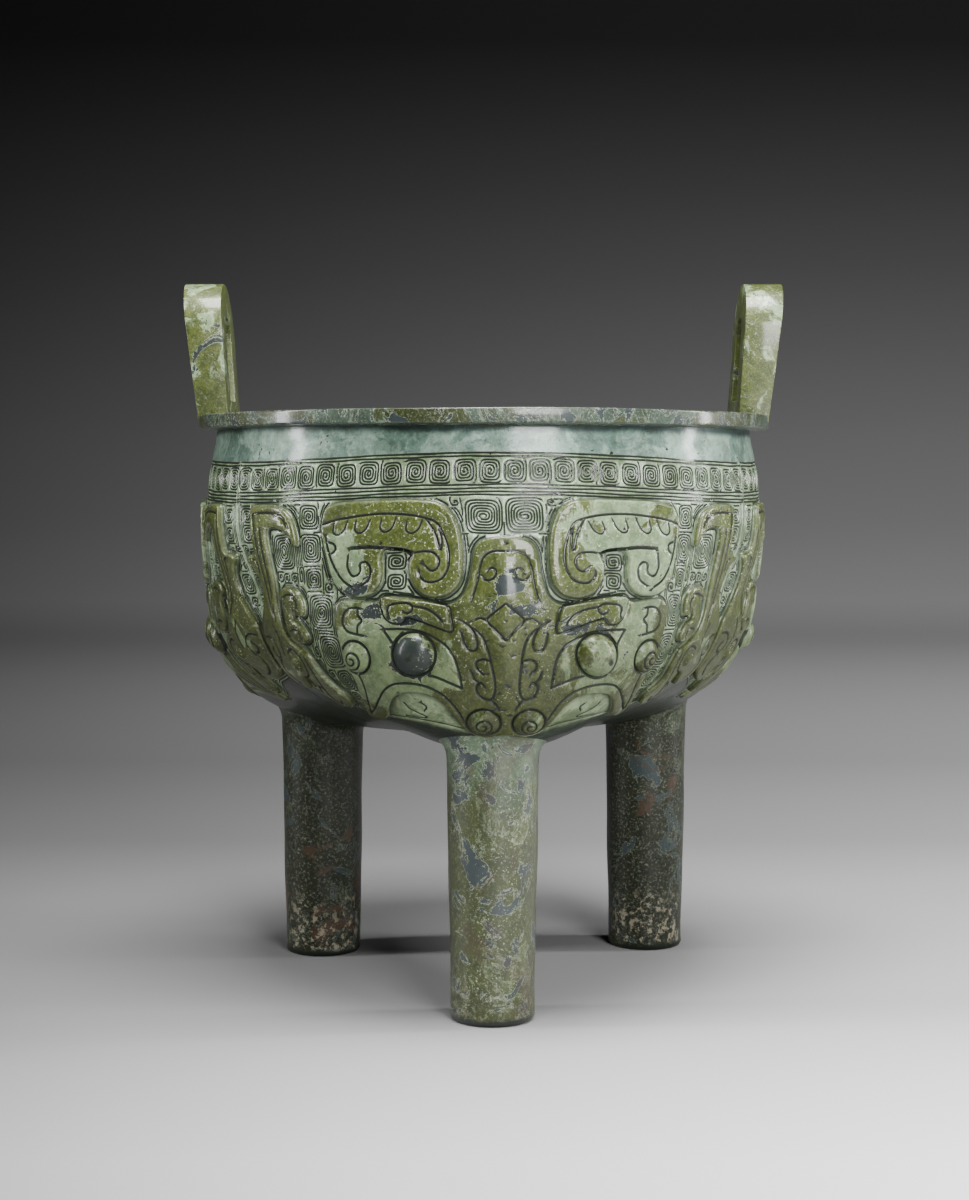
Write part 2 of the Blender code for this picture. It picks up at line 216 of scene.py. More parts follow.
POINTS_AT_ONCE = 4000


def inside_distance(points, outline, margin=6.0):
    """Distance from each point to a closed outline, positive inside it and negative outside."""
    result = np.full(len(points), -margin)
    near = np.all((points > outline.min(0) - margin) & (points < outline.max(0) + margin), axis=1)
    start, end = outline, np.roll(outline, -1, axis=0)
    along = end - start
    found = []
    chosen = points[near]
    for first in range(0, len(chosen), POINTS_AT_ONCE):
        part = chosen[first:first + POINTS_AT_ONCE]
        gap = part[:, None] - start
        share = np.clip((gap * along).sum(-1) / (along ** 2).sum(-1), 0, 1)
        distance = np.sqrt(((gap - share[..., None] * along) ** 2).sum(-1).min(1))
        x, y = part[:, :1], part[:, 1:]
        rise = np.where(along[:, 1] == 0, 1e-12, along[:, 1])
        crossing = along[:, 0] * (y - start[:, 1]) / rise + start[:, 0]
        crosses = ((start[:, 1] > y) != (end[:, 1] > y)) & (x < crossing)
        found.append(np.where(crosses.sum(1) % 2 == 1, distance, -distance))
    if found:
        result[near] = np.maximum(np.concatenate(found), -margin)
    return result


def mirrored(half):
    """Closed outline from its half, which starts and ends on the centre line."""
    return half + [(-a, v) for a, v in reversed(half) if a != 0]


def flip(points, side):
    """The points on positive a for side 1, or their mirror image for side -1."""
    return np.asarray(points, float) * (side, 1)


# Outlines of the raised figures, for the half on positive a

HORN = [
    (57.5, 18.5), (56, 15.4), (52, 14.3), (38, 14), (25, 14.3), (20, 15.1), (16.4, 18), (14.4, 22.5),
    (13.4, 28), (13.2, 34), (14, 40), (17.4, 43.5), (22, 44.2), (26.6, 42.3), (29.3, 38), (29.7, 34),
    (28.7, 31), (30.5, 29.7), (36.3, 29.2), (37.6, 31.5), (37.3, 35), (38, 39.6), (41.2, 42.6), (47, 43.2),
    (52, 41), (54.8, 36.5), (56.4, 30), (58, 23)]
FACE = [
    (0, 25.8), (4, 26), (8, 27.3), (9.9, 30), (10.6, 35), (11.5, 40), (13, 43.9), (16.6, 46), (24, 45.2),
    (32, 44.2), (37.5, 43.3), (39, 44.7), (45, 44.3), (51.5, 44), (54, 46), (53.9, 52), (52.9, 57),
    (52.6, 61), (51.8, 66), (50.2, 69.5), (50.2, 75), (51.6, 80), (54, 84), (56.3, 87.3), (53.5, 89.3),
    (48, 88.7), (44, 87.2), (41.2, 84.8), (38.8, 80), (36.4, 76.4), (33, 74.2), (28, 73.5), (23, 74.4),
    (19.4, 77), (17, 80.5), (14.5, 84.6), (12.4, 88), (9, 90), (5, 90.8), (2.2, 89.6), (0, 89.2)]
DRAGON = [
    (89.5, 16.2), (88, 14.3), (83, 13.9), (78, 14.1), (74, 15.2), (70.6, 17.6), (68.8, 21), (68, 27),
    (69.3, 27.3), (71.5, 24.3), (75, 22.2), (79, 21.2), (82, 21.6), (82.3, 28), (82.2, 36), (82.4, 43),
    (82, 49), (80, 54), (77.5, 56.8), (73.5, 58.8), (70, 61), (67.7, 65), (66, 69), (63.6, 72.4), (61, 75),
    (60, 78), (61.3, 81), (64.5, 83), (68.5, 83), (72, 81), (74, 78.4), (75.6, 75.6), (75.5, 71.2),
    (78, 69.4), (80.6, 71), (82.8, 76), (88, 75.8), (94, 74), (97.2, 72), (97.6, 66), (97.4, 58),
    (96.5, 53), (94, 49.5), (91.4, 44), (91.2, 38), (93, 34.3), (95.8, 31.4), (94, 30), (90.4, 29.4),
    (90, 22)]
CLAW = [
    (80.5, 43.5), (78.4, 40.6), (74.5, 39.9), (70.8, 40.8), (68.2, 43), (67, 46), (67.6, 49), (69.8, 49.8),
    (71.8, 48.5), (72.6, 47), (73.3, 50), (70.5, 51.4), (68, 53.6), (66.8, 56.2), (69.2, 58), (72.4, 57.8),
    (75.4, 56), (77.6, 53.2), (78, 49), (77.4, 46)]
BROW = [
    (37.4, 43.6), (33, 43.2), (27, 44), (20, 45.6), (16.6, 46.8), (15.6, 50), (15.2, 54.3), (20, 53),
    (26, 50.9), (30.2, 50), (31, 51.6), (34, 51.5), (36.4, 49.4)]

# Each figure: outline, height above the ground and width of its rounded shoulder
FIGURES = {
    "horn": (HORN, 2.3, 1.15),
    "face": (mirrored(FACE), 1.4, 0.75),
    "dragon": (DRAGON, 2.0, 1.0),
    "claw": (CLAW, 2.0, 1.1),
}
BROW_RISE = 0.9
BROW_SHOULDER = 0.6
NOSE_RISE = 1.1
NOSE_WIDTH = 8.5

# Domes: centre, radius and height above the ground
DOMES = {
    "eye": ((27.6, 61.1), 6.6, 5.0),
    "cheek": ((47.2, 61.7), 5.2, 3.9),
    "nostril": ((7.0, 83.6), 5.1, 3.4),
    "dragon_eye": ((78.6, 64.2), 3.9, 3.2),
}

# Incised lines on the figures
HORN_LINES = [
    [(56.8, 20.8), (53, 19.8), (46, 18.8), (38, 18.2), (30, 18.7), (24, 20), (21, 21.4), (19, 25), (17.4, 31),
     (17.9, 36), (20, 38.9), (24, 39.5), (26.2, 37.6), (26.4, 35.6)],
    [(28.4, 30.6), (25, 30.2), (22, 30.8), (20.4, 33), (21, 35.4), (22.8, 36.2), (24.8, 34.4)],
    [(55.5, 24.8), (55, 28), (53.3, 33), (50, 38), (46, 40.6)],
    [(48, 30.5), (48.3, 34), (46.6, 36.8), (44.6, 36.3), (44, 35), (44.2, 33.2), (42.4, 32.6), (40.8, 34.6),
     (41.3, 38), (44, 39.9)],
    [(23.6, 20.7), (21.4, 25), (20, 30.2), (19.6, 27), (20.2, 23.6)],
    [(54.4, 26.2), (52.6, 27), (52.3, 28.6), (53.4, 29.6)],
]
HOOK = [(-2.2, 0.2), (-0.6, 3.1), (1.4, 4), (2.7, 3), (2.2, 0.4)]
HOOK_PLACES = [(50.3, 20.2), (43, 19.9), (35, 19.9), (27.3, 20.6)]
SLOT = [(47, 28.3), (41, 28.2), (36, 28.8), (31, 29.5), (28.6, 30.4)]
FACE_LINES = [
    [(9.9, 45.2), (8.6, 40), (7.9, 35), (6.8, 32), (4.6, 30.5), (0, 30.3)],
    [(7.2, 37.6), (6, 39), (3.8, 38.6), (2.8, 37), (3.4, 35.5), (5, 35.5), (5.6, 36.6)],
    [(0, 46), (3, 48.4), (5.4, 50.9), (3, 53.6), (0, 57)],
    [(5.4, 50.9), (7.2, 50.3), (9.6, 51.2)],
    [(37, 53.2), (31, 53.4), (25, 54.4), (20.5, 56.4), (17.4, 58.6), (15.2, 62), (14, 66.5), (13.2, 71.5)],
    [(13.2, 71.5), (16.5, 70), (20, 68.4), (23, 67.4)],
    [(37, 53.2), (35.2, 56), (34.2, 58), (34, 60.6)],
    [(31, 54.4), (32.8, 56.2), (34.2, 58)],
    [(42.6, 54.9), (46, 54.2), (49, 53.3), (50.6, 51), (50.4, 48.6), (48.8, 46.9), (46, 46.5), (43.4, 47)],
    [(45.2, 46.8), (45, 48.8), (43.6, 50.4), (45, 51.6), (45.3, 54)],
    [(47.4, 67.2), (46.5, 70), (46.3, 74), (47.6, 79), (50.6, 84.6)],
    [(49.6, 83.6), (45, 80.2), (41.3, 76), (38.8, 73), (35.6, 70.9), (32, 70.2), (27.5, 70.3), (23, 71.4),
     (19, 73.8), (15.6, 77.6), (13, 82.4)],
    [(12.6, 54.4), (11.6, 58.4), (10.4, 60), (8.6, 59.9), (8, 58), (8.8, 55), (10.4, 52.6), (13.2, 50.7)],
    [(9, 53.4), (6.6, 56), (5.1, 60), (4.4, 64), (3.6, 69), (3.6, 72.6), (4.8, 74.9), (7, 74.6), (8.8, 72.8),
     (9, 70.8), (7.6, 69.8), (6.6, 71)],
    [(4.5, 63.2), (7, 62.7), (8.8, 63.6), (8.6, 65.6), (6.9, 67.2)],
    [(10.4, 66.4), (9.6, 68.6), (8.2, 70)],
    [(4.6, 75), (3.4, 76.2), (2.4, 78)],
]
BROW_LINES = [
    [(34.9, 49), (35.2, 46.6), (33.4, 45.7), (28.4, 46), (27.6, 47.6), (29.2, 48.7), (30.6, 48)],
    [(27.6, 46.6), (24, 47.2), (20.6, 48.8), (18.4, 50.8)],
]
MOUTH_LINES = [
    [(40.6, 85), (34, 85.4), (27, 85.8), (20, 86.4), (13.6, 88)],
    [(33, 78.4), (31.6, 80.6), (29, 82.2), (25.4, 84.2), (29, 84.8), (33.6, 84.6)],
    [(26.4, 78), (25, 79.4), (26, 81)],
]
DRAGON_LINES = [
    [(87.6, 17), (87.2, 24), (87, 32), (86.8, 40), (86, 46), (83.6, 51)],
    [(84.6, 22), (84.6, 30), (84.5, 38), (84.6, 44)],
    [(87.4, 17), (83, 16.6), (78, 16.9), (74, 18.2), (71.3, 21.4)],
    [(90.4, 31.2), (89, 31.6), (88.8, 35)],
    [(80.8, 60.6), (78, 59.5), (75.2, 60.6), (73.4, 63.8), (74, 67.6), (76.6, 69.2)],
    [(71.4, 61.8), (70.5, 66), (70.4, 72), (70.6, 77), (69.4, 80), (67.4, 80.6), (66, 78.6)],
    [(73.6, 75.2), (73, 73), (71.6, 72.6), (70.6, 74.2)],
    [(95, 57.4), (91.6, 57.2), (89, 58.6), (87.8, 61.4), (89.6, 63.8), (92.2, 63.9), (93.4, 61.8),
     (91.8, 60.4)],
    [(89.6, 64.4), (91.8, 66), (92.6, 68.6), (91, 71.2), (88, 73)],
    [(86, 53), (84, 57), (84.4, 62)],
]
CLAW_LINES = [
    [(77.4, 43.6), (74.4, 42.4), (71.6, 43), (70, 45.2), (70.4, 47.2)],
    [(74.6, 53.8), (72.4, 53.4), (70.4, 54.6), (69.8, 56)],
]

# Spirals of the ground, for the half on positive a: centre and half sizes
SPIRALS = [
    (6.6, 19.6, 6.1, 5.5), (63.6, 18.2, 3.9, 3.9), (63.2, 28.3, 4.2, 4.6), (62.8, 37.8, 3.5, 3.3),
    (60.4, 48.2, 5.3, 5.4), (58.4, 60.6, 4.9, 5.3), (33.5, 32.9, 2.9, 2.6), (33.5, 38.9, 3, 2.7),
    (76.1, 28.9, 5.2, 5.9), (79.8, 37.4, 1.7, 1.6), (76, 37.4, 1.8, 1.6), (72.2, 37.4, 1.8, 1.6),
    (93.6, 17.6, 2.6, 2.5), (93.6, 23.6, 2.6, 2.7),
]
BAND_COUNT = 26
BAND_TOP = 2.0
BAND_BOTTOM = 9.6
BAND_LINES = (0.35, 1.35, 10.1, 11.2, 12.3, 13.2)
GROUND_TOP = 13.6
MOUTH_ACROSS = 42
MOUTH_TOP = 72
LINE_PITCH = 0.88
SPIRAL_GAP = 0.6

# Lower edge of the ornament, from the centre line out to the seam
BORDER = [
    (0, 92.3), (12, 89.6), (26, 87.2), (42, 86.4), (50, 90.2), (57, 89), (64, 85.6), (74, 82.4), (84, 78.6),
    (92, 76.4), (99.5, 73.6)]


SAMPLE_STEP = 0.12
END_DEPTH = 0.35


class Grooves:
    """Cut lines of one panel: centre line, width, depth, and whether the line is closed."""

    def __init__(self):
        self.lines = []

    def cut(self, line, width, depth, closed=False):
        if len(line) > 2:
            self.lines.append((np.asarray(line, float), width, depth, closed))

    def samples(self):
        """Points close together on every centre line, each with its half width and depth."""
        places, halves, depths = [], [], []
        for line, width, depth, closed in self.lines:
            path = np.vstack([line, line[:1]]) if closed else line
            dense = evenly(path, SAMPLE_STEP)
            taper = np.ones(len(dense))
            if not closed:
                run = np.minimum(np.arange(len(dense)), np.arange(len(dense))[::-1]) * SAMPLE_STEP
                taper = np.clip(END_DEPTH + run / (width * 2), 0, 1)
            places.append(dense)
            halves.append(np.full(len(dense), width / 2))
            depths.append(depth * taper)
        return np.vstack(places), np.concatenate(halves), np.concatenate(depths)


def nearest_finder(places):
    """Tree that finds the nearest of many points."""
    tree = kdtree.KDTree(len(places))
    for i, place in enumerate(places):
        tree.insert((*place, 0), i)
    tree.balance()
    return tree


def smooth_step(share):
    share = np.clip(share, 0, 1)
    return share * share * (3 - 2 * share)


def shoulder(distance, width):
    """Height share of a rounded edge, from 0 at the outline to 1 at the shoulder's width inside it."""
    share = np.clip(distance / width, 0, 1)
    return np.sqrt(1 - (1 - share) ** 2)


OUTER_SQUARENESS = 5.0
INNER_SQUARENESS = 2.4
POINTS_PER_TURN = 64
SPIRAL_SHARE = 0.94


def square_spiral(box, hand, start):
    """Centre line of a squared spiral that fills a box (left, top, right, bottom), from its outer end in."""
    left, top, right, bottom = box
    half = np.array([(right - left) / 2, (bottom - top) / 2])
    turns = min(half) / LINE_PITCH
    share = np.linspace(0, 1, int(turns * POINTS_PER_TURN) + 8)
    turn = start + hand * share * turns * 2 * math.pi
    power = OUTER_SQUARENESS - (OUTER_SQUARENESS - INNER_SQUARENESS) * share
    reach = (np.abs(np.cos(turn)) ** power + np.abs(np.sin(turn)) ** power) ** (-1 / power)
    inset = min(half) * share * SPIRAL_SHARE
    x = (half[0] - inset) * reach * np.cos(turn)
    y = (half[1] - inset) * reach * np.sin(turn)
    return evenly(np.column_stack([x + (left + right) / 2, y + (top + bottom) / 2]), FINE_STEP * 0.9)


def runs_of(line, keep):
    """The stretches of a line whose points are kept, each of at least four points."""
    stretches, current = [], []
    for point, kept in zip(line, keep):
        if kept:
            current.append(point)
            continue
        if len(current) > 3:
            stretches.append(np.array(current))
        current = []
    if len(current) > 3:
        stretches.append(np.array(current))
    return stretches


def figure_lines():
    """Dense closed outline, height and shoulder of every figure, on both sides."""
    made = []
    for name, (outline, height, width) in FIGURES.items():
        for side in (1,) if name == "face" else (1, -1):
            made.append((smooth_line(flip(outline, side), closed=True), height, width))
    return made


FIGURE_LINES = figure_lines()
BROW_OUTLINES = [smooth_line(flip(BROW, side), closed=True) for side in (1, -1)]
FAR = 6.0


def clear_of_figures(points):
    """How far each point lies outside every figure; negative inside one."""
    clear = np.full(len(points), FAR)
    for outline, *_ in FIGURE_LINES:
        clear = np.minimum(clear, -inside_distance(points, outline))
    return clear


def border(a):
    """How far down the ornament reaches at each place across the panel."""
    return np.interp(np.abs(a), *zip(*BORDER))


GRID = 0.5
GRID_A = np.arange(0, HALF_PANEL + GRID, GRID)
GRID_V = np.arange(0, DRAWN_DOWN + GRID, GRID)
GRID_POINTS = np.array([(a, v) for v in GRID_V for a in GRID_A])
ABOVE_BORDER = border(GRID_POINTS[:, 0]) - 0.6 - GRID_POINTS[:, 1]
CLEARANCE = np.minimum(clear_of_figures(GRID_POINTS), ABOVE_BORDER).reshape(len(GRID_V), len(GRID_A))
BOX_CLEARANCE = 0.85
CENTRE_MARGIN = 0.45
SEAM_MARGIN = 0.9


def separate(box, other):
    """Whether two boxes keep the spirals' gap between them."""
    return (box[0] > other[2] + SPIRAL_GAP or box[2] < other[0] - SPIRAL_GAP
            or box[1] > other[3] + SPIRAL_GAP or box[3] < other[1] - SPIRAL_GAP)


def free(box, taken):
    """Whether a box keeps clear of the figures, the borders and every box already placed."""
    left, top, right, bottom = box
    if left < CENTRE_MARGIN or right > HALF_PANEL - SEAM_MARGIN:
        return False
    if top < GROUND_TOP + 0.4 or bottom > DRAWN_DOWN - 5:
        return False
    if left < MOUTH_ACROSS and bottom > MOUTH_TOP:
        return False
    rows = slice(int(top / GRID), int(math.ceil(bottom / GRID)) + 1)
    columns = slice(int(left / GRID), int(math.ceil(right / GRID)) + 1)
    if CLEARANCE[rows, columns].min() < BOX_CLEARANCE:
        return False
    return all(separate(box, other) for other in taken)


GROW_STEPS = ((0, -0.25), (1, -0.25), (2, 0.25), (3, 0.25))
LONGEST_SHAPE = 2.3
LONGEST_BOX = 11


def grown(box, taken):
    """The box widened on each side as far as it stays free and not too long for its width."""
    box = list(box)
    moving = True
    while moving:
        moving = False
        for side, step in GROW_STEPS:
            trial = list(box)
            trial[side] += step
            wide, tall = trial[2] - trial[0], trial[3] - trial[1]
            longest = max(wide, tall)
            if longest < LONGEST_SHAPE * min(wide, tall) and longest < LONGEST_BOX and free(trial, taken):
                box = trial
                moving = True
    return tuple(box)


def ground_boxes():
    """Boxes of the ground's spirals: the drawn ones, then smaller ones in what they leave, largest first."""
    taken = [(a - wide, v - tall, a + wide, v + tall) for a, v, wide, tall in SPIRALS]
    for half in (4, 3, 2.2, 1.6, 1.2):
        for v in np.arange(GROUND_TOP + half, DRAWN_DOWN - 8, 0.5):
            for a in np.arange(half, HALF_PANEL - half - SEAM_MARGIN, 0.5):
                box = (a - half, v - half, a + half, v + half)
                if free(box, taken):
                    taken.append(grown(box, taken))
    return taken


BOXES = ground_boxes()

# Widths and depths of the cuts
GROUND_CUT = (0.74, 0.6)
HATCH_CUT = (0.68, 0.55)
BORDER_CUT = (0.5, 0.4)
FIGURE_CUT = (0.9, 0.8)
FINE_CUT = (0.7, 0.5)
BROW_CUT = (0.8, 0.7)
RING_CUT = (1.0, 0.9)
CURL_CUT = (0.75, 0.65)
SLOT_CUT = (1.3, 1.3)
SPIRAL_STARTS = (0.25, 0.75, 1.25, 1.75)
CONTOUR_OFFSETS = (0.75, 1.6, 2.45, 3.3)


def open_ground(line, margin):
    """Which points of a line lie on the ground: above the border and outside the masks' mouths."""
    a, v = line.T
    return (v < border(a) - margin) & ~((np.abs(a) < MOUTH_ACROSS) & (v > MOUTH_TOP))


def band_grooves(grooves, chance):
    """The row of spirals at the top and the lines above and below it."""
    pitch = PANEL_ACROSS / BAND_COUNT
    for place in range(BAND_COUNT):
        left = -HALF_PANEL + pitch * place + 0.28 + chance.uniform(-0.1, 0.1)
        box = (left, BAND_TOP + chance.uniform(-0.1, 0.1), left + pitch - 0.56, BAND_BOTTOM)
        hand = chance.choice((1, 1, 1, -1))
        grooves.cut(square_spiral(box, hand, chance.choice(SPIRAL_STARTS) * math.pi), *GROUND_CUT)
    for level in BAND_LINES:
        a = np.arange(-HALF_PANEL + 0.8, HALF_PANEL - 0.7, FINE_STEP)
        wave = 0.08 * np.sin(a * 0.21 + level) + 0.06 * np.sin(a * 0.53 + level * 3)
        grooves.cut(np.column_stack([a, level + wave]), *GROUND_CUT)


def spiral_grooves(grooves, chance):
    """The ground's spirals, on both sides of the centre line. Returns their boxes."""
    boxes = []
    for side in (1, -1):
        for left, top, right, bottom in BOXES:
            shift = chance.uniform(-0.1, 0.1)
            low, high = sorted((side * left, side * right))
            box = (low + shift, top, high + shift, bottom)
            line = square_spiral(box, chance.choice((1, -1)), chance.choice(SPIRAL_STARTS) * math.pi)
            for run in runs_of(line, clear_of_figures(line) > 0.45):
                grooves.cut(run, *GROUND_CUT)
            boxes.append(box)
    return boxes


def contour_grooves(grooves, boxes):
    """Lines that follow each figure's outline, where the spirals leave room for them."""
    for outline, *_ in FIGURE_LINES:
        for offset in CONTOUR_OFFSETS:
            line = sideways(outline, offset, closed=True)
            if inside_distance(line[:1], outline)[0] > 0:
                line = sideways(outline, -offset, closed=True)
            a, v = line.T
            keep = (clear_of_figures(line) > offset - 0.12) & open_ground(line, 1.4)
            keep &= (v > GROUND_TOP + 0.5) & (np.abs(a) < HALF_PANEL - 1)
            for left, top, right, bottom in boxes:
                keep &= ~((a > left - 0.5) & (a < right + 0.5) & (v > top - 0.5) & (v < bottom + 0.5))
            for run in runs_of(line, keep):
                grooves.cut(run, *GROUND_CUT)


def border_grooves(grooves):
    """Two lines along the ornament's lower edge."""
    for below in (-0.4, 0.7):
        a = np.arange(44, HALF_PANEL - 0.8, FINE_STEP)
        for side in (1, -1):
            line = np.column_stack([side * a, border(a) + below])
            for run in runs_of(line, clear_of_figures(line) > 0.4):
                grooves.cut(run, *BORDER_CUT)


HATCH_STEP = 0.4
HATCH_TOP = 14.4
HATCH_DISTANCE = 0.66


def hatch_grooves(grooves):
    """Straight lines down and across whatever the spirals leave of the ground."""
    edge = HALF_PANEL - 1
    down = np.arange(GROUND_TOP + 0.7, 94, HATCH_STEP)
    across = np.arange(-edge, edge, HATCH_STEP)
    columns = [np.column_stack([np.full(len(down), a), down]) for a in np.arange(-edge, edge, LINE_PITCH)]
    rows = [np.column_stack([across, np.full(len(across), v)]) for v in np.arange(HATCH_TOP, 92, LINE_PITCH)]
    for lines in (columns, rows):
        finder = nearest_finder(grooves.samples()[0])
        for line in lines:
            keep = (clear_of_figures(line) > 0.4) & open_ground(line, 1.0)
            for i in np.nonzero(keep)[0]:
                keep[i] = finder.find((*line[i], 0))[2] > HATCH_DISTANCE
            for run in runs_of(line, keep):
                if len(run) > 5:
                    grooves.cut(run[::2], *HATCH_CUT)


def ring_around(name, side):
    """Closed line just outside a dome."""
    (a, v), radius, _ = DOMES[name]
    turn = np.linspace(0, 2 * math.pi, 50, endpoint=False)
    ring = np.column_stack([side * a + (radius + 0.25) * np.cos(turn), v + (radius + 0.25) * np.sin(turn)])
    return evenly(ring, FINE_STEP)


def curl_on(name, side):
    """Spiral line on top of a dome."""
    (a, v), radius, _ = DOMES[name]
    share = np.linspace(0, 1, 40)
    turn = 0.4 * math.pi + share * 1.55 * 2 * math.pi
    reach = radius * (0.62 - 0.5 * share)
    return evenly(np.column_stack([side * (a + reach * np.cos(turn)), v + reach * np.sin(turn)]), 0.6)


def figure_grooves(grooves):
    """The incised lines on the horns, masks and dragons, cut wider and deeper than the ground's."""
    for side in (1, -1):
        for knots in HORN_LINES + FACE_LINES + BROW_LINES + DRAGON_LINES + CLAW_LINES:
            grooves.cut(smooth_line(flip(knots, side)), *FIGURE_CUT)
        for a, v in HOOK_PLACES:
            grooves.cut(smooth_line(flip(np.array(HOOK) + (a, v), side)), *FINE_CUT)
        grooves.cut(smooth_line(flip(SLOT, side)), *SLOT_CUT)
        for knots in MOUTH_LINES:
            grooves.cut(smooth_line(flip(knots, side)), *FINE_CUT)
        for outline in BROW_OUTLINES:
            grooves.cut(outline, *BROW_CUT, closed=True)
        for name in ("cheek", "nostril", "eye"):
            grooves.cut(ring_around(name, side), *RING_CUT, closed=True)
    for name in ("cheek", "nostril"):
        for side in (1, -1):
            grooves.cut(curl_on(name, side), *CURL_CUT)


# Holes: place, width and depth. The pupils, and the one above the forehead
HOLES = [(-28.2, 62, 1.7, 1.1), (30.4, 62.4, 1.9, 1.2), (0.4, 28, 1.1, 0.9)]
FLAW_COUNT = 26
FLAW_DEPTH = 0.4


def pits(grooves, chance):
    """The holes, and small casting flaws down the nose."""
    holes = list(HOLES)
    for i in range(FLAW_COUNT):
        holes.append((chance.uniform(-6, 6), chance.uniform(50, 82), chance.uniform(0.4, 0.7), FLAW_DEPTH))
    for a, v, width, depth in holes:
        grooves.cut(np.array([(a - 0.15, v), (a, v + 0.1), (a + 0.15, v)]), width, depth)


def relief(points):
    """Height of the relief without its grooves, and how much each point is figure rather than ground."""
    height = np.zeros(len(points))
    edge = np.zeros(len(points))
    for outline, rise, width in FIGURE_LINES:
        distance = inside_distance(points, outline)
        lifted = rise * shoulder(distance, width) * (distance > 0)
        height = np.maximum(height, lifted)
        # The shoulder band of each figure, where the material lays wear and a painted highlight.
        edge = np.maximum(edge, np.where(distance > 0, 1 - np.abs(distance / width - 0.45) / 0.55, 0))
    for outline in BROW_OUTLINES:
        distance = inside_distance(points, outline)
        height += BROW_RISE * shoulder(distance, BROW_SHOULDER) * (distance > 0)
    a, v = np.abs(points[:, 0]), points[:, 1]
    bridge = smooth_step(1 - a / NOSE_WIDTH) * smooth_step((v - 27) / 6) * smooth_step((82 - v) / 8)
    height += NOSE_RISE * bridge * (height > 0.3)
    for (centre_a, centre_v), radius, rise in DOMES.values():
        apart = np.hypot(a - centre_a, v - centre_v) / radius
        dome = rise * np.sqrt(np.clip(1 - apart ** 2, 0, 1))
        # Dome tops take the same mark, strongest at the centre.
        edge = np.where(dome > height, np.clip(1 - apart, 0, 1) * 0.6, edge)
        height = np.maximum(height, dome)
    return height, np.clip(edge, 0, 1)


# Patches of colour on the figures: place, half sizes and strength
MINT_PATCHES = [
    (38, 28, 20, 13, 0.5), (46, 34, 10, 8, 0.2), (-50, 34, 7, 9, 0.7), (-44, 60, 12, 13, 0.8),
    (42, 54, 9, 12, 0.5), (-28, 70, 14, 5, 0.6), (30, 71, 12, 4, 0.25), (-7, 82, 5, 4, 0.35),
    (9, 82, 5, 4, 0.35), (-17, 62, 4, 6, 0.25), (20, 62, 5, 6, 0.25), (0, 38, 12, 18, -0.6),
    (0, 66, 9, 16, -0.6), (-28, 20, 16, 9, -0.3), (-80, 45, 12, 25, -0.2), (78, 45, 12, 25, -0.1)]
SLATE_PATCHES = [
    (-28, 62, 6.5, 7, 1.3), (1, 39, 3, 5, 0.8), (6, 48, 7, 2.5, 0.8), (-28, 51, 12, 3, 0.5),
    (28, 53, 12, 2, 0.5), (-48, 41, 8, 3, 0.6), (-40, 47, 3, 3, 0.8), (-28, 79, 8, 5, 0.5),
    (38, 28, 18, 12, -0.3)]


class Mesher:
    """Points and lines that a panel's flat mesh must keep."""

    def __init__(self):
        self.points = []
        self.edges = []

    def add(self, line, closed=False, joined=True):
        inside = np.abs(line[:, 0]) < HALF_PANEL - 0.35
        inside &= (line[:, 1] > 0.12) & (line[:, 1] < DRAWN_DOWN - 0.5)
        first = len(self.points)
        index = np.cumsum(inside) - 1 + first
        self.points += [tuple(point) for point in line[inside]]
        if not joined:
            return
        for i in range(len(line) - 1 + closed):
            j = (i + 1) % len(line)
            if inside[i] and inside[j]:
                self.edges.append((int(index[i]), int(index[j])))

    def frame(self, columns, rows):
        """The panel's own outline, with the same points on both seams."""
        first = len(self.points)
        loop = [(a, 0.0) for a in columns] + [(HALF_PANEL, v) for v in rows[1:]]
        loop += [(a, float(DRAWN_DOWN)) for a in columns[-2::-1]]
        loop += [(-HALF_PANEL, v) for v in rows[-2:0:-1]]
        self.points += loop
        self.edges += [(first + i, first + (i + 1) % len(loop)) for i in range(len(loop))]


LATTICE_SPACING = 1.5
MERGE_DISTANCE = 0.02
SHOULDER_LINES = (0, 0.1, 0.3, 0.62, 1)
DOME_RINGS = (1, 0.97, 0.9, 0.78, 0.62, 0.42, 0.2)


def add_domes(mesher):
    """Rings on every dome; only the outermost is kept as a line."""
    for side in (1, -1):
        for (a, v), radius, _ in DOMES.values():
            for share in DOME_RINGS:
                reach = radius * share
                turn = np.linspace(0, 2 * math.pi, max(8, int(reach * 9)), endpoint=False)
                ring = np.column_stack([side * a + reach * np.cos(turn), v + reach * np.sin(turn)])
                mesher.add(ring, closed=True, joined=share == 1)


def flat_mesh(grooves, chance, columns, rows):
    """Triangles over the whole panel that follow every outline, groove and dome."""
    mesher = Mesher()
    mesher.frame(columns, rows)
    for line, width, _, closed in grooves.lines:
        for away in (0, width / 2, -width / 2):
            mesher.add(sideways(line, away, closed) if away else line, closed)
    for outline, _, width in FIGURE_LINES:
        inward = 1 if inside_distance(sideways(outline, 0.3, closed=True)[:1], outline)[0] > 0 else -1
        for share in SHOULDER_LINES:
            mesher.add(sideways(outline, inward * share * width, closed=True), closed=True)
    for outline in BROW_OUTLINES:
        mesher.add(outline, closed=True)
    add_domes(mesher)
    lattice = np.array([(a, v) for v in np.arange(1, DRAWN_DOWN - 1, LATTICE_SPACING)
                        for a in np.arange(-HALF_PANEL + 1, HALF_PANEL - 1, LATTICE_SPACING)])
    wobble = np.array([(chance.uniform(-0.3, 0.3), chance.uniform(-0.3, 0.3)) for point in lattice])
    mesher.add(lattice + wobble, joined=False)
    points = [Vector(point) for point in mesher.points]
    found = delaunay_2d_cdt(points, mesher.edges, [], 0, MERGE_DISTANCE)
    return np.array([tuple(point) for point in found[0]]), np.array(list(found[2]))


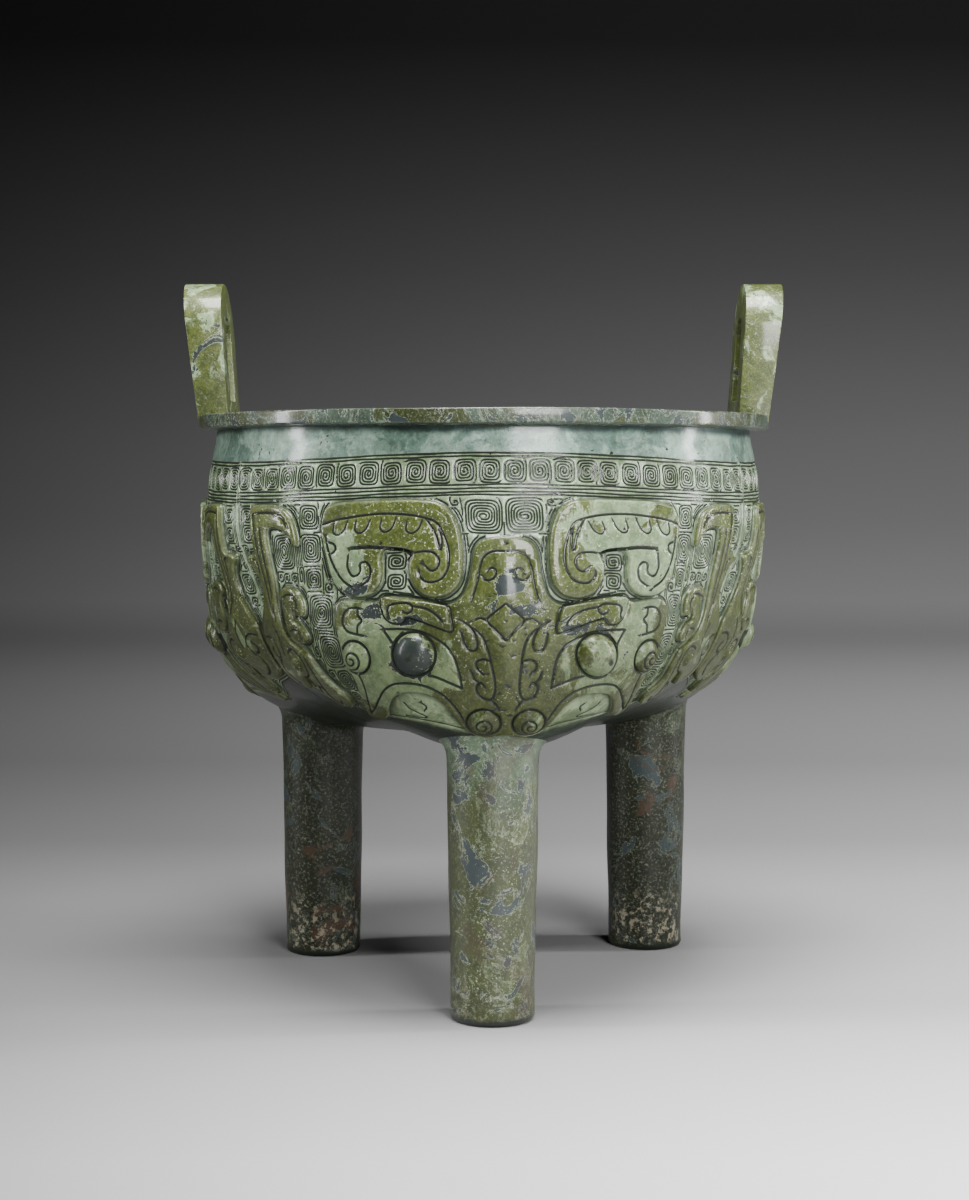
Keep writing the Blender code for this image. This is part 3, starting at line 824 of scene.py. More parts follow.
# Where the moulds' carving strays from a mirrored drawing: place, then shift across and down
STRAYS = [
    (-58, 20, 0.3, 0), (-44, 35, 0.6, 0), (-37, 33, 1, 0), (-24, 35, 2.2, -0.4), (-14, 30, 1.4, 0),
    (-28, 61, 1.7, -0.3), (-46.5, 61.5, -0.2, 0.5), (-7.5, 83.5, 1.2, 0), (-49, 84, -3.2, 4),
    (-30, 70, 0.5, 0), (-12, 71, 1.4, 0), (-16, 54, 0.2, 0), (-82, 30, 2, 0), (-90, 30, 0.4, 0),
    (-72, 48, 0, 0), (-64, 80, 0, 4), (-75, 72, -1, 2), (0, 48, 0.8, 0), (14, 30, 0.2, 0), (24, 35, 2, 0),
    (38, 34, 1.3, 0.4), (44, 35, 2.8, 0), (57, 20, 2.1, 0), (54, 47, 2.8, 0), (28, 61, 1.6, 0.4),
    (46, 61.5, 2.6, 0.8), (7, 83.5, 2.1, 0.3), (31, 70, 2.6, 1), (13, 71, 1.3, 0), (48, 84, 7, 3.6),
    (16, 54, 0.5, 0.6), (80, 30, -3.8, 0), (88, 30, -1, 0), (68, 20, -1.6, 0), (72, 48, -3.8, 0),
    (77, 63, -3, 0), (62, 78, 3, 3)]
STRAY_REACH = 7.0


def strayed(flat):
    """The drawing's points moved to where the carving really lies."""
    weights = np.full(len(flat), 0.15)
    shift = np.zeros_like(flat)
    for a, v, across, down in STRAYS:
        weight = np.exp(-((flat[:, 0] - a) ** 2 + (flat[:, 1] - v) ** 2) / (2 * STRAY_REACH ** 2))
        weights += weight
        shift += weight[:, None] * (across, down)
    held = smooth_step((HALF_PANEL - np.abs(flat[:, 0])) / 8) * smooth_step((flat[:, 1] - 12) / 6)
    held *= smooth_step((DRAWN_DOWN - flat[:, 1]) / 9)
    return flat + shift / weights[:, None] * held[:, None]


def groove_depths(flat, grooves):
    """Depth cut at each point, and its share of the groove's full depth."""
    places, halves, depths = grooves.samples()
    finder = nearest_finder(places)
    depth = np.zeros(len(flat))
    share = np.zeros(len(flat))
    for i, (a, v) in enumerate(flat):
        _, index, distance = finder.find((a, v, 0))
        near = 1 - distance / halves[index]
        if near > 0:
            near = min(1, near * 1.15)
            depth[i] = depths[index] * near
            share[i] = near
    return depth, share


def uneven(points):
    """Slow waves over the casting, a tenth of a millimetre high."""
    x, y, z = points.T * 60
    wave = np.sin(x * 1.3 + 1.1 * np.sin(z * 0.9)) * np.sin(y * 1.1 + 0.7) + 0.6 * np.sin(z * 1.9 + x * 0.8)
    return wave * 0.00009


def build_mesh(name, points, faces, smooth):
    """Mesh object from arrays of points and a list of faces, smooth or flat face by face."""
    mesh = bpy.data.meshes.new(name)
    mesh.from_pydata(points.tolist(), [], faces)
    mesh.polygons.foreach_set("use_smooth", smooth)
    mesh.update()
    made = bpy.data.objects.new(name, mesh)
    bpy.context.scene.collection.objects.link(made)
    return made


class Shell:
    """Points and faces of one closed piece, added row by row."""

    def __init__(self, points, faces):
        self.points = [points]
        self.faces = faces
        self.count = len(points)

    def add_row(self, points):
        """Adds points and returns their numbers."""
        first = self.count
        self.points.append(np.array(points))
        self.count += len(points)
        return list(range(first, self.count))


def outer_skin(flat, height, depth, section):
    """World points of the drawn part of the skin, with a low ridge along each seam."""
    seam_gap = HALF_PANEL - np.abs(flat[:, 0])
    ridge = SEAM_RIDGE * np.clip(1 - seam_gap / 0.5, 0, 1)
    lift = (height - depth) * np.clip(seam_gap / 0.6, 0, 1) + ridge
    lift = np.where(flat[:, 1] < 0.01, 0, lift)
    placed = strayed(flat)
    angle = placed[:, 0] / PANEL_ACROSS * SECTION
    z = skin_height(angle, placed[:, 1])
    base = on_skin(angle, z, 0.0, section)
    return on_skin(angle, z, lift * UNIT + uneven(base) * (flat[:, 1] > 1), section)


SEAM_RIDGE = 0.25
COLUMN_COUNT = 200
ROW_COUNT = 126
UNDERSIDE_ROWS = 16
INNER_COLUMNS = 81


def underside(shell, edge, columns, section):
    """The plain skin below the drawing. Returns the ends of its rows on both seams, and its pole."""
    angles = columns / PANEL_ACROSS * SECTION
    lengths = np.interp(np.abs(angles), TABLE_ANGLES, [distances[-1] for distances, _ in MERIDIANS])
    left, right = [], []
    above = edge
    for row in range(1, UNDERSIDE_ROWS):
        down = DRAWN_DOWN + (lengths / DOWN_SCALE - DRAWN_DOWN) * (row / UNDERSIDE_ROWS)
        below = shell.add_row(on_skin(angles, skin_height(angles, down), np.zeros(len(angles)), section))
        shell.faces += [(above[i], below[i], below[i + 1], above[i + 1]) for i in range(len(below) - 1)]
        left.append(below[0])
        right.append(below[-1])
        above = below
    pole = shell.add_row([(0, 0, BOWL_BOTTOM)])[0]
    shell.faces += [(above[i], pole, above[i + 1]) for i in range(len(above) - 1)]
    return left, right, pole


def inner_wall(shell, section):
    """The plain wall inside. Returns its rows and its pole."""
    angles = np.linspace(-SECTION / 2, SECTION / 2, INNER_COLUMNS)
    upper = top_line(angles)
    heights = [upper + (BELLY_LEVEL - upper) * share for share in np.linspace(0, 1, 14)]
    for share in np.sin(np.linspace(0, math.pi / 2, 17))[1:-1]:
        heights.append(np.full(len(angles), BELLY_LEVEL - (BELLY_LEVEL - BOWL_BOTTOM - WALL) * share))
    rows = [shell.add_row(on_skin(angles, z, np.zeros(len(z)), section, inset=WALL)) for z in heights]
    pole = shell.add_row([(0, 0, BOWL_BOTTOM + WALL)])[0]
    for above, below in zip(rows, rows[1:]):
        shell.faces += [(above[i], above[i + 1], below[i + 1], below[i]) for i in range(len(above) - 1)]
    last = rows[-1]
    shell.faces += [(last[i], last[i + 1], pole) for i in range(len(last) - 1)]
    return rows, pole


def mark(piece, name, values, beyond=0.0):
    """Point attribute with values for the drawn skin, and one value for every point beyond it."""
    attribute = piece.data.attributes.new(name, "FLOAT", "POINT")
    every = np.full(len(piece.data.vertices), beyond, np.float32)
    every[:len(values)] = values
    attribute.data.foreach_set("value", every)


def mark_panel(piece, flat, height, edge, cut):
    """What the panel's material needs to know about each point."""
    mark(piece, "groove", cut)
    mark(piece, "raised", np.clip(height / 1.4, 0, 1))
    mark(piece, "edge", edge)
    away = np.maximum(clear_of_figures(flat), 0)
    # Painted shade on the ground close to each figure, fading with the distance from it.
    mark(piece, "painted_shade_by_figures", np.where(height > 0.05, 0, np.exp(-(away / 1.1) ** 1.5)))
    for kind, patches in (("mint", MINT_PATCHES), ("slate", SLATE_PATCHES)):
        amount = np.zeros(len(flat))
        for a, v, across, down, strength in patches:
            spot = np.exp(-((flat[:, 0] - a) / across) ** 2 - ((flat[:, 1] - v) / down) ** 2)
            amount += strength * spot
        mark(piece, kind, amount)
    # How far down the panel painted shade darkens its colour and thins its coat; every point beyond the
    # drawing gets the full amount.
    mark(piece, "low", smooth_step((flat[:, 1] - 24) / 46), 1.0)
    mark(piece, "ornament", smooth_step((border(flat[:, 0]) + 1.2 - flat[:, 1]) / 1.5))


def panel(name, section):
    """One third of the bowl: mask, two dragons and ground outside, plain wall inside, closed at its seams."""
    chance = random.Random(section + 11)
    grooves = Grooves()
    band_grooves(grooves, chance)
    contour_grooves(grooves, spiral_grooves(grooves, chance))
    border_grooves(grooves)
    hatch_grooves(grooves)
    figure_grooves(grooves)
    pits(grooves, chance)
    columns = np.linspace(-HALF_PANEL, HALF_PANEL, COLUMN_COUNT)
    rows = np.linspace(0, DRAWN_DOWN, ROW_COUNT)
    flat, triangles = flat_mesh(grooves, chance, columns, rows)
    height, edge = relief(flat)
    depth, cut = groove_depths(flat, grooves)
    faces = triangles.tolist()
    if np.cross(*(flat[triangles[0]][1:] - flat[triangles[0]][0])) > 0:
        faces = [face[::-1] for face in faces]
    shell = Shell(outer_skin(flat, height, depth, section), faces)

    def found(a, v):
        return int(np.argmin(np.abs(flat[:, 0] - a) + np.abs(flat[:, 1] - v)))

    top, bottom = [[found(a, v) for a in columns] for v in (0, DRAWN_DOWN)]
    left, right = [[found(a, v) for v in rows] for a in (-HALF_PANEL, HALF_PANEL)]
    left_below, right_below, pole = underside(shell, bottom, columns, section)
    inner_rows, inner_pole = inner_wall(shell, section)
    smooth = [True] * len(shell.faces) + [False] * 3
    left = (left + left_below)[::-1] + [row[0] for row in inner_rows] + [inner_pole, pole]
    right = right + right_below + [pole, inner_pole] + [row[-1] for row in inner_rows][::-1]
    faces = shell.faces + [top + inner_rows[0][::-1], left, right]
    piece = build_mesh(name, np.vstack(shell.points), faces, smooth)
    mark_panel(piece, flat, height, edge, cut)
    return piece


# Pieces shaped one by one

def active(piece):
    """Makes the piece the only one selected, and the one that tools act on."""
    bpy.ops.object.select_all(action="DESELECT")
    piece.select_set(True)
    bpy.context.view_layer.objects.active = piece


def named(name):
    piece = bpy.context.object
    piece.name = name
    piece.data.name = name
    return piece


def settle(piece):
    """Puts the piece's place into its mesh."""
    active(piece)
    bpy.ops.object.transform_apply(location=True, rotation=True, scale=True)
    return piece


def modify(piece, name, kind, **settings):
    """Adds a modifier with its settings and applies it."""
    step = piece.modifiers.new(name, kind)
    for key, value in settings.items():
        setattr(step, key, value)
    active(piece)
    bpy.ops.object.modifier_apply(modifier=name)


def soften(piece, degrees):
    active(piece)
    bpy.ops.object.shade_smooth_by_angle(angle=math.radians(degrees))


def spun(name, profile, steps):
    """Closed ring or column made by spinning a profile of (radius, height) points about the Z axis."""
    mesh = bpy.data.meshes.new(name)
    edges = [(i, i + 1) for i in range(len(profile) - 1)]
    mesh.from_pydata([(radius, 0, z) for radius, z in profile], edges, [])
    piece = bpy.data.objects.new(name, mesh)
    bpy.context.scene.collection.objects.link(piece)
    active(piece)
    bpy.ops.object.mode_set(mode="EDIT")
    bpy.ops.mesh.select_all(action="SELECT")
    bpy.ops.mesh.spin(steps=steps, angle=2 * math.pi, center=(0, 0, 0), axis=(0, 0, 1))
    bpy.ops.mesh.select_all(action="SELECT")
    bpy.ops.mesh.remove_doubles(threshold=0.000005)
    bpy.ops.mesh.normals_make_consistent(inside=False)
    bpy.ops.object.mode_set(mode="OBJECT")
    return piece


def rounded(corners, radius, count=5):
    """A profile with its corners rounded: each corner becomes a short arc."""
    made = []
    for before, corner, after in zip([corners[0]] + corners, corners, corners[1:] + [corners[-1]]):
        here = Vector(corner)
        back, ahead = Vector(before) - here, Vector(after) - here
        if back.length < 1e-9 or ahead.length < 1e-9:
            made.append(tuple(here))
            continue
        cut = min(radius, back.length * 0.45, ahead.length * 0.45)
        start, end = here + back.normalized() * cut, here + ahead.normalized() * cut
        for i in range(count):
            share = i / (count - 1)
            low, high = start.lerp(here, share), here.lerp(end, share)
            made.append(tuple(low.lerp(high, share)))
    return made


SPIN_STEPS = 288
RIM_ROUNDING = 0.0007


def neck_and_rim():
    """The flat rim with its rounded edge, the neck under it, and the lip inside."""
    outer_levels = np.linspace(RIM_UNDER - 0.0006, ORNAMENT_TOP, 16)
    neck = [(float(upper_radius(z)), float(z)) for z in outer_levels]
    inner_levels = np.linspace(ORNAMENT_TOP, RIM_UNDER - 0.001, 10)
    lip = [(float(upper_radius(z)) - WALL, float(z)) for z in inner_levels]
    rim = rounded([
        (MOUTH_RADIUS - 0.0001, RIM_UNDER + 0.0004), (MOUTH_RADIUS, RIM_TOP - 0.0002), (RIM_RADIUS, RIM_TOP),
        (RIM_RADIUS, RIM_UNDER), (NECK_RADIUS + 0.0011, RIM_UNDER - 0.0002)], RIM_ROUNDING)
    profile = lip + rim + neck
    piece = spun("neck_and_rim", profile + profile[:1], SPIN_STEPS)
    follow_top_line(piece)
    soften(piece, 50)
    return piece


def follow_top_line(piece):
    """Bends the neck's lower edge to the ornament's wavy top line, and makes the rim a little uneven."""
    steady = RIM_UNDER - 0.003
    for vertex in piece.data.vertices:
        x, y, z = vertex.co
        share = np.clip((steady - z) / (steady - ORNAMENT_TOP), 0, 1)
        reach = math.hypot(x, y)
        angle = math.atan2(x, -y) - TURN
        level = z + (float(top_line(angle)) - ORNAMENT_TOP) * float(share)
        drift = float(upper_radius(level) - upper_radius(z)) * float(share > 0)
        wave = 0.00012 * math.sin(3 * angle + 1) + 0.00008 * math.sin(7 * angle)
        grown = (reach + drift) / reach
        vertex.co = (x * grown, y * grown, level + wave * (z > RIM_UNDER))


HALVINGS = 24


def underside_height(x, y):
    """Height of the bowl's underside straight above each point of the floor."""
    reach = np.hypot(x, y)
    angle = np.arctan2(x, -y) - TURN
    low = np.full_like(reach, BOWL_BOTTOM)
    high = np.full_like(reach, BELLY_LEVEL)
    for halving in range(HALVINGS):
        middle = (low + high) / 2
        inside = bowl_radius(angle, middle) > reach
        high = np.where(inside, middle, high)
        low = np.where(inside, low, middle)
    return (low + high) / 2


LEG_SIDES = 88
SHAFT_ROWS = 34
FILLET_ROWS = 10
FILLET_DOWN = 0.0055
FILLET_OUT = 0.0042
HIDDEN_RISE = 0.0016


def leg_rows(centre, degrees):
    """Rings of a leg from its worn foot up, then inward under the bowl, and the two ends' middle points."""
    foot = LEG_DIAMETER / 2
    turn = np.linspace(0, 2 * math.pi, LEG_SIDES, endpoint=False)
    outward = np.column_stack([np.cos(turn), np.sin(turn)])

    def ring(radius, z):
        around = centre + outward * np.reshape(radius, (-1, 1))
        return np.column_stack([around, np.broadcast_to(z, LEG_SIDES)])

    def underside_at(radius):
        return underside_height(*(centre + outward * radius).T)

    meeting = underside_at(LEG_TOP_RADIUS)
    rows = [ring(foot - 0.0016, 0), ring(foot - 0.0006, 0.0003), ring(foot, 0.0014)]
    for share in np.linspace(0.03, 1, SHAFT_ROWS):
        z = share * (meeting - FILLET_DOWN)
        wave = 0.00016 * np.sin(z * 95 + degrees + 1.3 * np.sin(turn)) + 0.00012 * np.sin(2 * turn + z * 40)
        dent = 0.00008 * np.sin(5 * turn + z * 210 + degrees)
        taper = (LEG_TOP_RADIUS - foot) * share ** 1.5
        rows.append(ring(foot + taper + (wave + dent) * (1 - share ** 4), z))
    outer = underside_at(LEG_TOP_RADIUS + FILLET_OUT) + 0.0005
    for share in np.linspace(0, 1, FILLET_ROWS)[1:]:
        low, middle, high = (1 - share) ** 2, 2 * share * (1 - share), share ** 2
        z = low * (meeting - FILLET_DOWN) + middle * (meeting + 0.0002) + high * outer
        rows.append(ring(LEG_TOP_RADIUS + high * FILLET_OUT, z))
    for share in (0.75, 0.4):
        reach = (LEG_TOP_RADIUS + FILLET_OUT) * share
        rows.append(ring(reach, underside_at(reach) + HIDDEN_RISE))
    top = underside_height(*centre[:, None])[0] + HIDDEN_RISE
    return rows, [[*centre, 0], [*centre, top]]


def leg(name, distance, degrees):
    """A round leg: a worn foot, a slight taper, and a fillet that runs into the bowl's underside."""
    direction = math.radians(degrees)
    reach = distance * BOWL_RADIUS
    rows, ends = leg_rows(np.array([reach * math.sin(direction), -reach * math.cos(direction)]), degrees)
    following = [(i, (i + 1) % LEG_SIDES) for i in range(LEG_SIDES)]
    faces = []
    for row in range(len(rows) - 1):
        low, high = row * LEG_SIDES, (row + 1) * LEG_SIDES
        faces += [(low + i, low + j, high + j, high + i) for i, j in following]
    last = (len(rows) - 1) * LEG_SIDES
    bottom, top = len(rows) * LEG_SIDES, len(rows) * LEG_SIDES + 1
    for i, j in following:
        faces += [(bottom, j, i), (top, last + i, last + j)]
    piece = build_mesh(name, np.vstack(rows + [np.array(ends)]), faces, [True] * len(faces))
    soften(piece, 60)
    return piece


ARCH_SIDES = 96


def arch(name, half_width, bottom, top, depth):
    """An upright slab with a half-round top, drawn across Y and Z, its thickness along X about the Z axis."""
    spring = top - half_width
    bpy.ops.object.select_all(action="DESELECT")
    bpy.ops.mesh.primitive_cylinder_add(
        vertices=ARCH_SIDES, radius=half_width, depth=depth, location=(0, 0, spring),
        rotation=(0, math.pi / 2, 0))
    piece = settle(named(name))
    bpy.ops.object.mode_set(mode="EDIT")
    bpy.ops.mesh.select_all(action="SELECT")
    bpy.ops.mesh.bisect(plane_co=(0, 0, spring), plane_no=(0, 0, 1), clear_inner=True, use_fill=True)
    bpy.ops.object.mode_set(mode="OBJECT")
    for face in piece.data.polygons:
        face.select = face.normal.z < -0.9 and abs(face.center.z - spring) < 0.0001
    bpy.ops.object.mode_set(mode="EDIT")
    bpy.ops.mesh.select_mode(type="FACE")
    bpy.ops.mesh.extrude_region_move(TRANSFORM_OT_translate={"value": (0, 0, bottom - spring)})
    bpy.ops.object.mode_set(mode="OBJECT")
    return piece


LOOP_BLANK_DEPTH = 0.02
OPENING_BLANK_DEPTH = 0.05
HANDLE_ROUNDING = 0.0009


def handle(name, side):
    """An upright loop whose faces lean outward as they rise, with softened edges."""
    loop = arch(name, HANDLE_WIDTH / 2, RIM_TOP - RIM_THICKNESS / 2, TOTAL_HEIGHT, LOOP_BLANK_DEPTH)
    opening = arch("handle_opening", LOOP_WIDTH / 2, LOOP_BOTTOM, LOOP_TOP, OPENING_BLANK_DEPTH)
    modify(loop, "Opening", "BOOLEAN", operation="DIFFERENCE", solver="EXACT", object=opening)
    bpy.data.objects.remove(opening)
    outer = (RIM_RADIUS - HANDLE_SETBACK, RIM_RADIUS - HANDLE_SETBACK + HANDLE_LEAN)
    inner = (outer[0] - HANDLE_THICKNESS, outer[1] - HANDLE_TOP_THICKNESS)
    for vertex in loop.data.vertices:
        x, y, z = vertex.co
        rise = (z - RIM_TOP) / (TOTAL_HEIGHT - RIM_TOP)
        low, high = outer if x > 0 else inner
        vertex.co = (low + (high - low) * rise, y, z)
    modify(loop, "Edges", "BEVEL", width=HANDLE_ROUNDING, segments=3, limit_method="ANGLE",
           angle_limit=math.radians(50))
    if side < 0:
        for vertex in loop.data.vertices:
            vertex.co = (-vertex.co.x, -vertex.co.y, vertex.co.z)
    soften(loop, 40)
    return loop


# Materials

class Tree:
    """Short ways to add and join shader nodes."""

    def __init__(self, tree):
        self.tree = tree
        self.count = 0

    def add(self, kind, **settings):
        node = self.tree.nodes.new("ShaderNode" + kind)
        self.count += 1
        node.location = (self.count * 170, -(self.count % 7) * 190)
        for key, value in settings.items():
            setattr(node, key, value)
        return node

    def put(self, node, **inputs):
        """Joins or sets inputs, by name or as i0, i1 and so on by number. Three numbers are a colour."""
        for key, value in inputs.items():
            socket = node.inputs[int(key[1:]) if key[1:].isdigit() else key.replace("_", " ")]
            if isinstance(value, bpy.types.NodeSocket):
                self.tree.links.new(value, socket)
            else:
                socket.default_value = (*value, 1) if isinstance(value, tuple) else value
        return node

    def noise(self, vector, scale, detail=3, roughness=0.55, distortion=0.0):
        node = self.put(self.add("TexNoise"), Vector=vector, Scale=scale, Detail=detail, Roughness=roughness)
        return self.put(node, Distortion=distortion).outputs["Fac"]

    def band(self, value, low, high):
        """0 below low, 1 above high, smooth between."""
        node = self.add("MapRange", interpolation_type="SMOOTHSTEP")
        return self.put(node, Value=value, From_Min=low, From_Max=high).outputs["Result"]

    def math(self, kind, *values):
        node = self.add("Math", operation=kind)
        return self.put(node, **{f"i{i}": value for i, value in enumerate(values)}).outputs[0]

    def mix(self, share, first, second, kind="MIX"):
        node = self.add("Mix", data_type="RGBA", blend_type=kind)
        return self.put(node, i0=share, i6=first, i7=second).outputs[2]

    def tinted(self, share, colour, tint):
        """The colour, multiplied by a tint as far as the share says."""
        return self.mix(share, colour, self.mix(1.0, colour, tint, "MULTIPLY"))


# Colours of the figures, the ground and the belly; the belly's are made very dark, partly as painted shade
# under the bowl
OLIVE = (0.082, 0.104, 0.016)
MINT = (0.250, 0.340, 0.185)
CELADON = (0.440, 0.570, 0.380)
BELLY = (0.018, 0.032, 0.022)
DEEP_TEAL = (0.030, 0.060, 0.042)

# Colours of the neck and the rim
TEAL = (0.130, 0.215, 0.175)
BRIGHT_TEAL = (0.240, 0.350, 0.290)
RIM_OLIVE = (0.028, 0.038, 0.005)
RIM_GREEN = (0.038, 0.064, 0.042)

# Colours of the legs and their crust
LEG_GREEN = (0.070, 0.110, 0.062)
LEG_OLIVE = (0.034, 0.045, 0.006)
LEG_LIGHT = (0.050, 0.068, 0.014)
# The rear legs' colours: their dark patina, made darker still as painted shade under the bowl.
SHADED_BROWN = (0.012, 0.015, 0.006)
SHADED_DEEP_OLIVE = (0.020, 0.028, 0.012)
RUST = (0.042, 0.024, 0.013)
CREAM = (0.420, 0.370, 0.270)

# Colours found everywhere: pits, and grooves filled with dirt and painted shade; slate patches, specks, and
# worn edges with a painted highlight
DARK = (0.008, 0.012, 0.007)
SLATE = (0.018, 0.026, 0.028)
PALE_SLATE = (0.024, 0.036, 0.036)
PALE = (0.620, 0.680, 0.520)

# Tints that a colour is multiplied by
MOTTLE_TINT = (0.56, 0.60, 0.55)
GRAIN_TINT = (0.66, 0.68, 0.62)
# The tint below paints shade over the lower part of the bowl.
PAINTED_LOW_SHADE_TINT = (0.48, 0.47, 0.40)
# The tint below paints shade on the ground beside the figures.
SHADE_BY_FIGURES_TINT = (0.08, 0.09, 0.07)
# The tint below paints the shadow right under the rim.
RIM_SHADOW_TINT = (0.10, 0.14, 0.15)

# Sizes of the patina's patterns, as the scale of each noise
DRIFT_SCALE = 48
SPREAD_SCALE = 60
SLATE_SCALE = 75
MOTTLE_SCALE = 190
PIT_SCALE = 520
GRAIN_SCALE = 1100
SPECK_SCALE = 1500
PATINA_DEPTH = 0.0005
LEG_PATINA_DEPTH = 0.0006


def patina_group():
    """Patina: drifts between two colours, grain, slate patches with pale rims, pale specks and dark pits."""
    tree = bpy.data.node_groups.new("patina", "ShaderNodeTree")
    for socket, kind in (("Vector", "Vector"), ("Main", "Color"), ("Second", "Color"),
                         ("Second Share", "Float"), ("Slate Share", "Float"), ("Specks", "Float")):
        tree.interface.new_socket(socket, in_out="INPUT", socket_type="NodeSocket" + kind)
    for socket, kind in (("Color", "Color"), ("Roughness", "Float"), ("Height", "Float")):
        tree.interface.new_socket(socket, in_out="OUTPUT", socket_type="NodeSocket" + kind)
    nodes = Tree(tree)
    given = tree.nodes.new("NodeGroupInput").outputs
    result = tree.nodes.new("NodeGroupOutput")
    vector = given["Vector"]

    # The two colours, with a pale line where they meet
    limit = nodes.math("SUBTRACT", 0.75, nodes.math("MULTIPLY", given["Second Share"], 0.5))
    level = nodes.math("SUBTRACT", nodes.noise(vector, DRIFT_SCALE, 8, 0.68, 0.8), limit)
    colour = nodes.mix(nodes.band(level, -0.035, 0.02), given["Main"], given["Second"])
    pale = nodes.math("MULTIPLY_ADD", given["Specks"], 0.35, 0.04)
    worn = nodes.math("SUBTRACT", nodes.band(level, 0.004, 0.012), nodes.band(level, 0.016, 0.03))
    colour = nodes.mix(nodes.math("MULTIPLY", worn, pale), colour, PALE)

    # Mottling and grain
    mottle = nodes.noise(vector, MOTTLE_SCALE, 5, 0.7, 0.4)
    dulled = nodes.mix(1.0, colour, MOTTLE_TINT, "MULTIPLY")
    colour = nodes.mix(nodes.band(mottle, 0.38, 0.62), dulled, colour)
    grain = nodes.noise(vector, GRAIN_SCALE, 3, 0.7)
    lit = nodes.mix(nodes.band(grain, 0.5, 0.72), colour, nodes.mix(0.13, colour, PALE))
    dulled = nodes.mix(1.0, lit, GRAIN_TINT, "MULTIPLY")
    colour = nodes.mix(nodes.band(grain, 0.28, 0.46), dulled, lit)

    # Slate patches with pale rims
    limit = nodes.math("SUBTRACT", 0.74, nodes.math("MULTIPLY", given["Slate Share"], 0.3))
    over = nodes.math("SUBTRACT", nodes.noise(vector, SLATE_SCALE, 7, 0.66, 1.4), limit)
    slate = nodes.band(over, 0.0, 0.01)
    rim = nodes.math("SUBTRACT", nodes.band(over, -0.016, -0.004), slate)
    colour = nodes.mix(slate, colour, nodes.mix(nodes.band(mottle, 0.35, 0.65), SLATE, PALE_SLATE))
    colour = nodes.mix(nodes.math("MULTIPLY", rim, nodes.math("MULTIPLY", pale, 1.5)), colour, PALE)

    # Pale specks, sown in drifts, and dark pits
    speck = nodes.band(nodes.noise(vector, SPECK_SCALE, 2, 0.5), 0.63, 0.68)
    spread = nodes.band(nodes.noise(vector, SPREAD_SCALE, 4, 0.6), 0.42, 0.62)
    sown = nodes.math("MULTIPLY", nodes.math("MULTIPLY", speck, spread), given["Specks"])
    colour = nodes.mix(sown, colour, PALE)
    pitted = nodes.band(nodes.noise(vector, PIT_SCALE, 2, 0.5), 0.71, 0.76)
    colour = nodes.mix(pitted, colour, DARK)

    # Roughness and the height of the fine bumps
    rough = nodes.math("MULTIPLY_ADD", grain, 0.25, 0.33)
    rough = nodes.math("ADD", rough, nodes.math("MULTIPLY", sown, 0.25))
    height = nodes.math("ADD", nodes.math("MULTIPLY", grain, 0.25), nodes.math("MULTIPLY", mottle, 0.9))
    height = nodes.math("SUBTRACT", height, nodes.math("MULTIPLY", pitted, 1.2))
    height = nodes.math("SUBTRACT", height, nodes.math("MULTIPLY", slate, 0.3))
    nodes.put(result, Color=colour, Roughness=rough, Height=height)
    return tree


def material(name):
    made = bpy.data.materials.new(name)
    made.use_nodes = True
    return made, Tree(made.node_tree), made.node_tree.nodes["Principled BSDF"]


def patina(nodes, tree, vector, main, second, share, slate, specks):
    node = nodes.add("Group", node_tree=tree)
    nodes.put(node, Vector=vector, Main=main, Second=second)
    return nodes.put(node, Second_Share=share, Slate_Share=slate, Specks=specks).outputs


def finish_shader(nodes, shader, colour, rough, height, depth, metallic, gloss=0.5, coat_rough=0.13):
    bump = nodes.put(nodes.add("Bump"), Strength=0.55, Distance=depth, Height=height)
    nodes.put(shader, Coat_Weight=gloss, Coat_Roughness=coat_rough)
    nodes.put(shader, Base_Color=colour, Roughness=rough, Metallic=metallic, Normal=bump.outputs["Normal"])


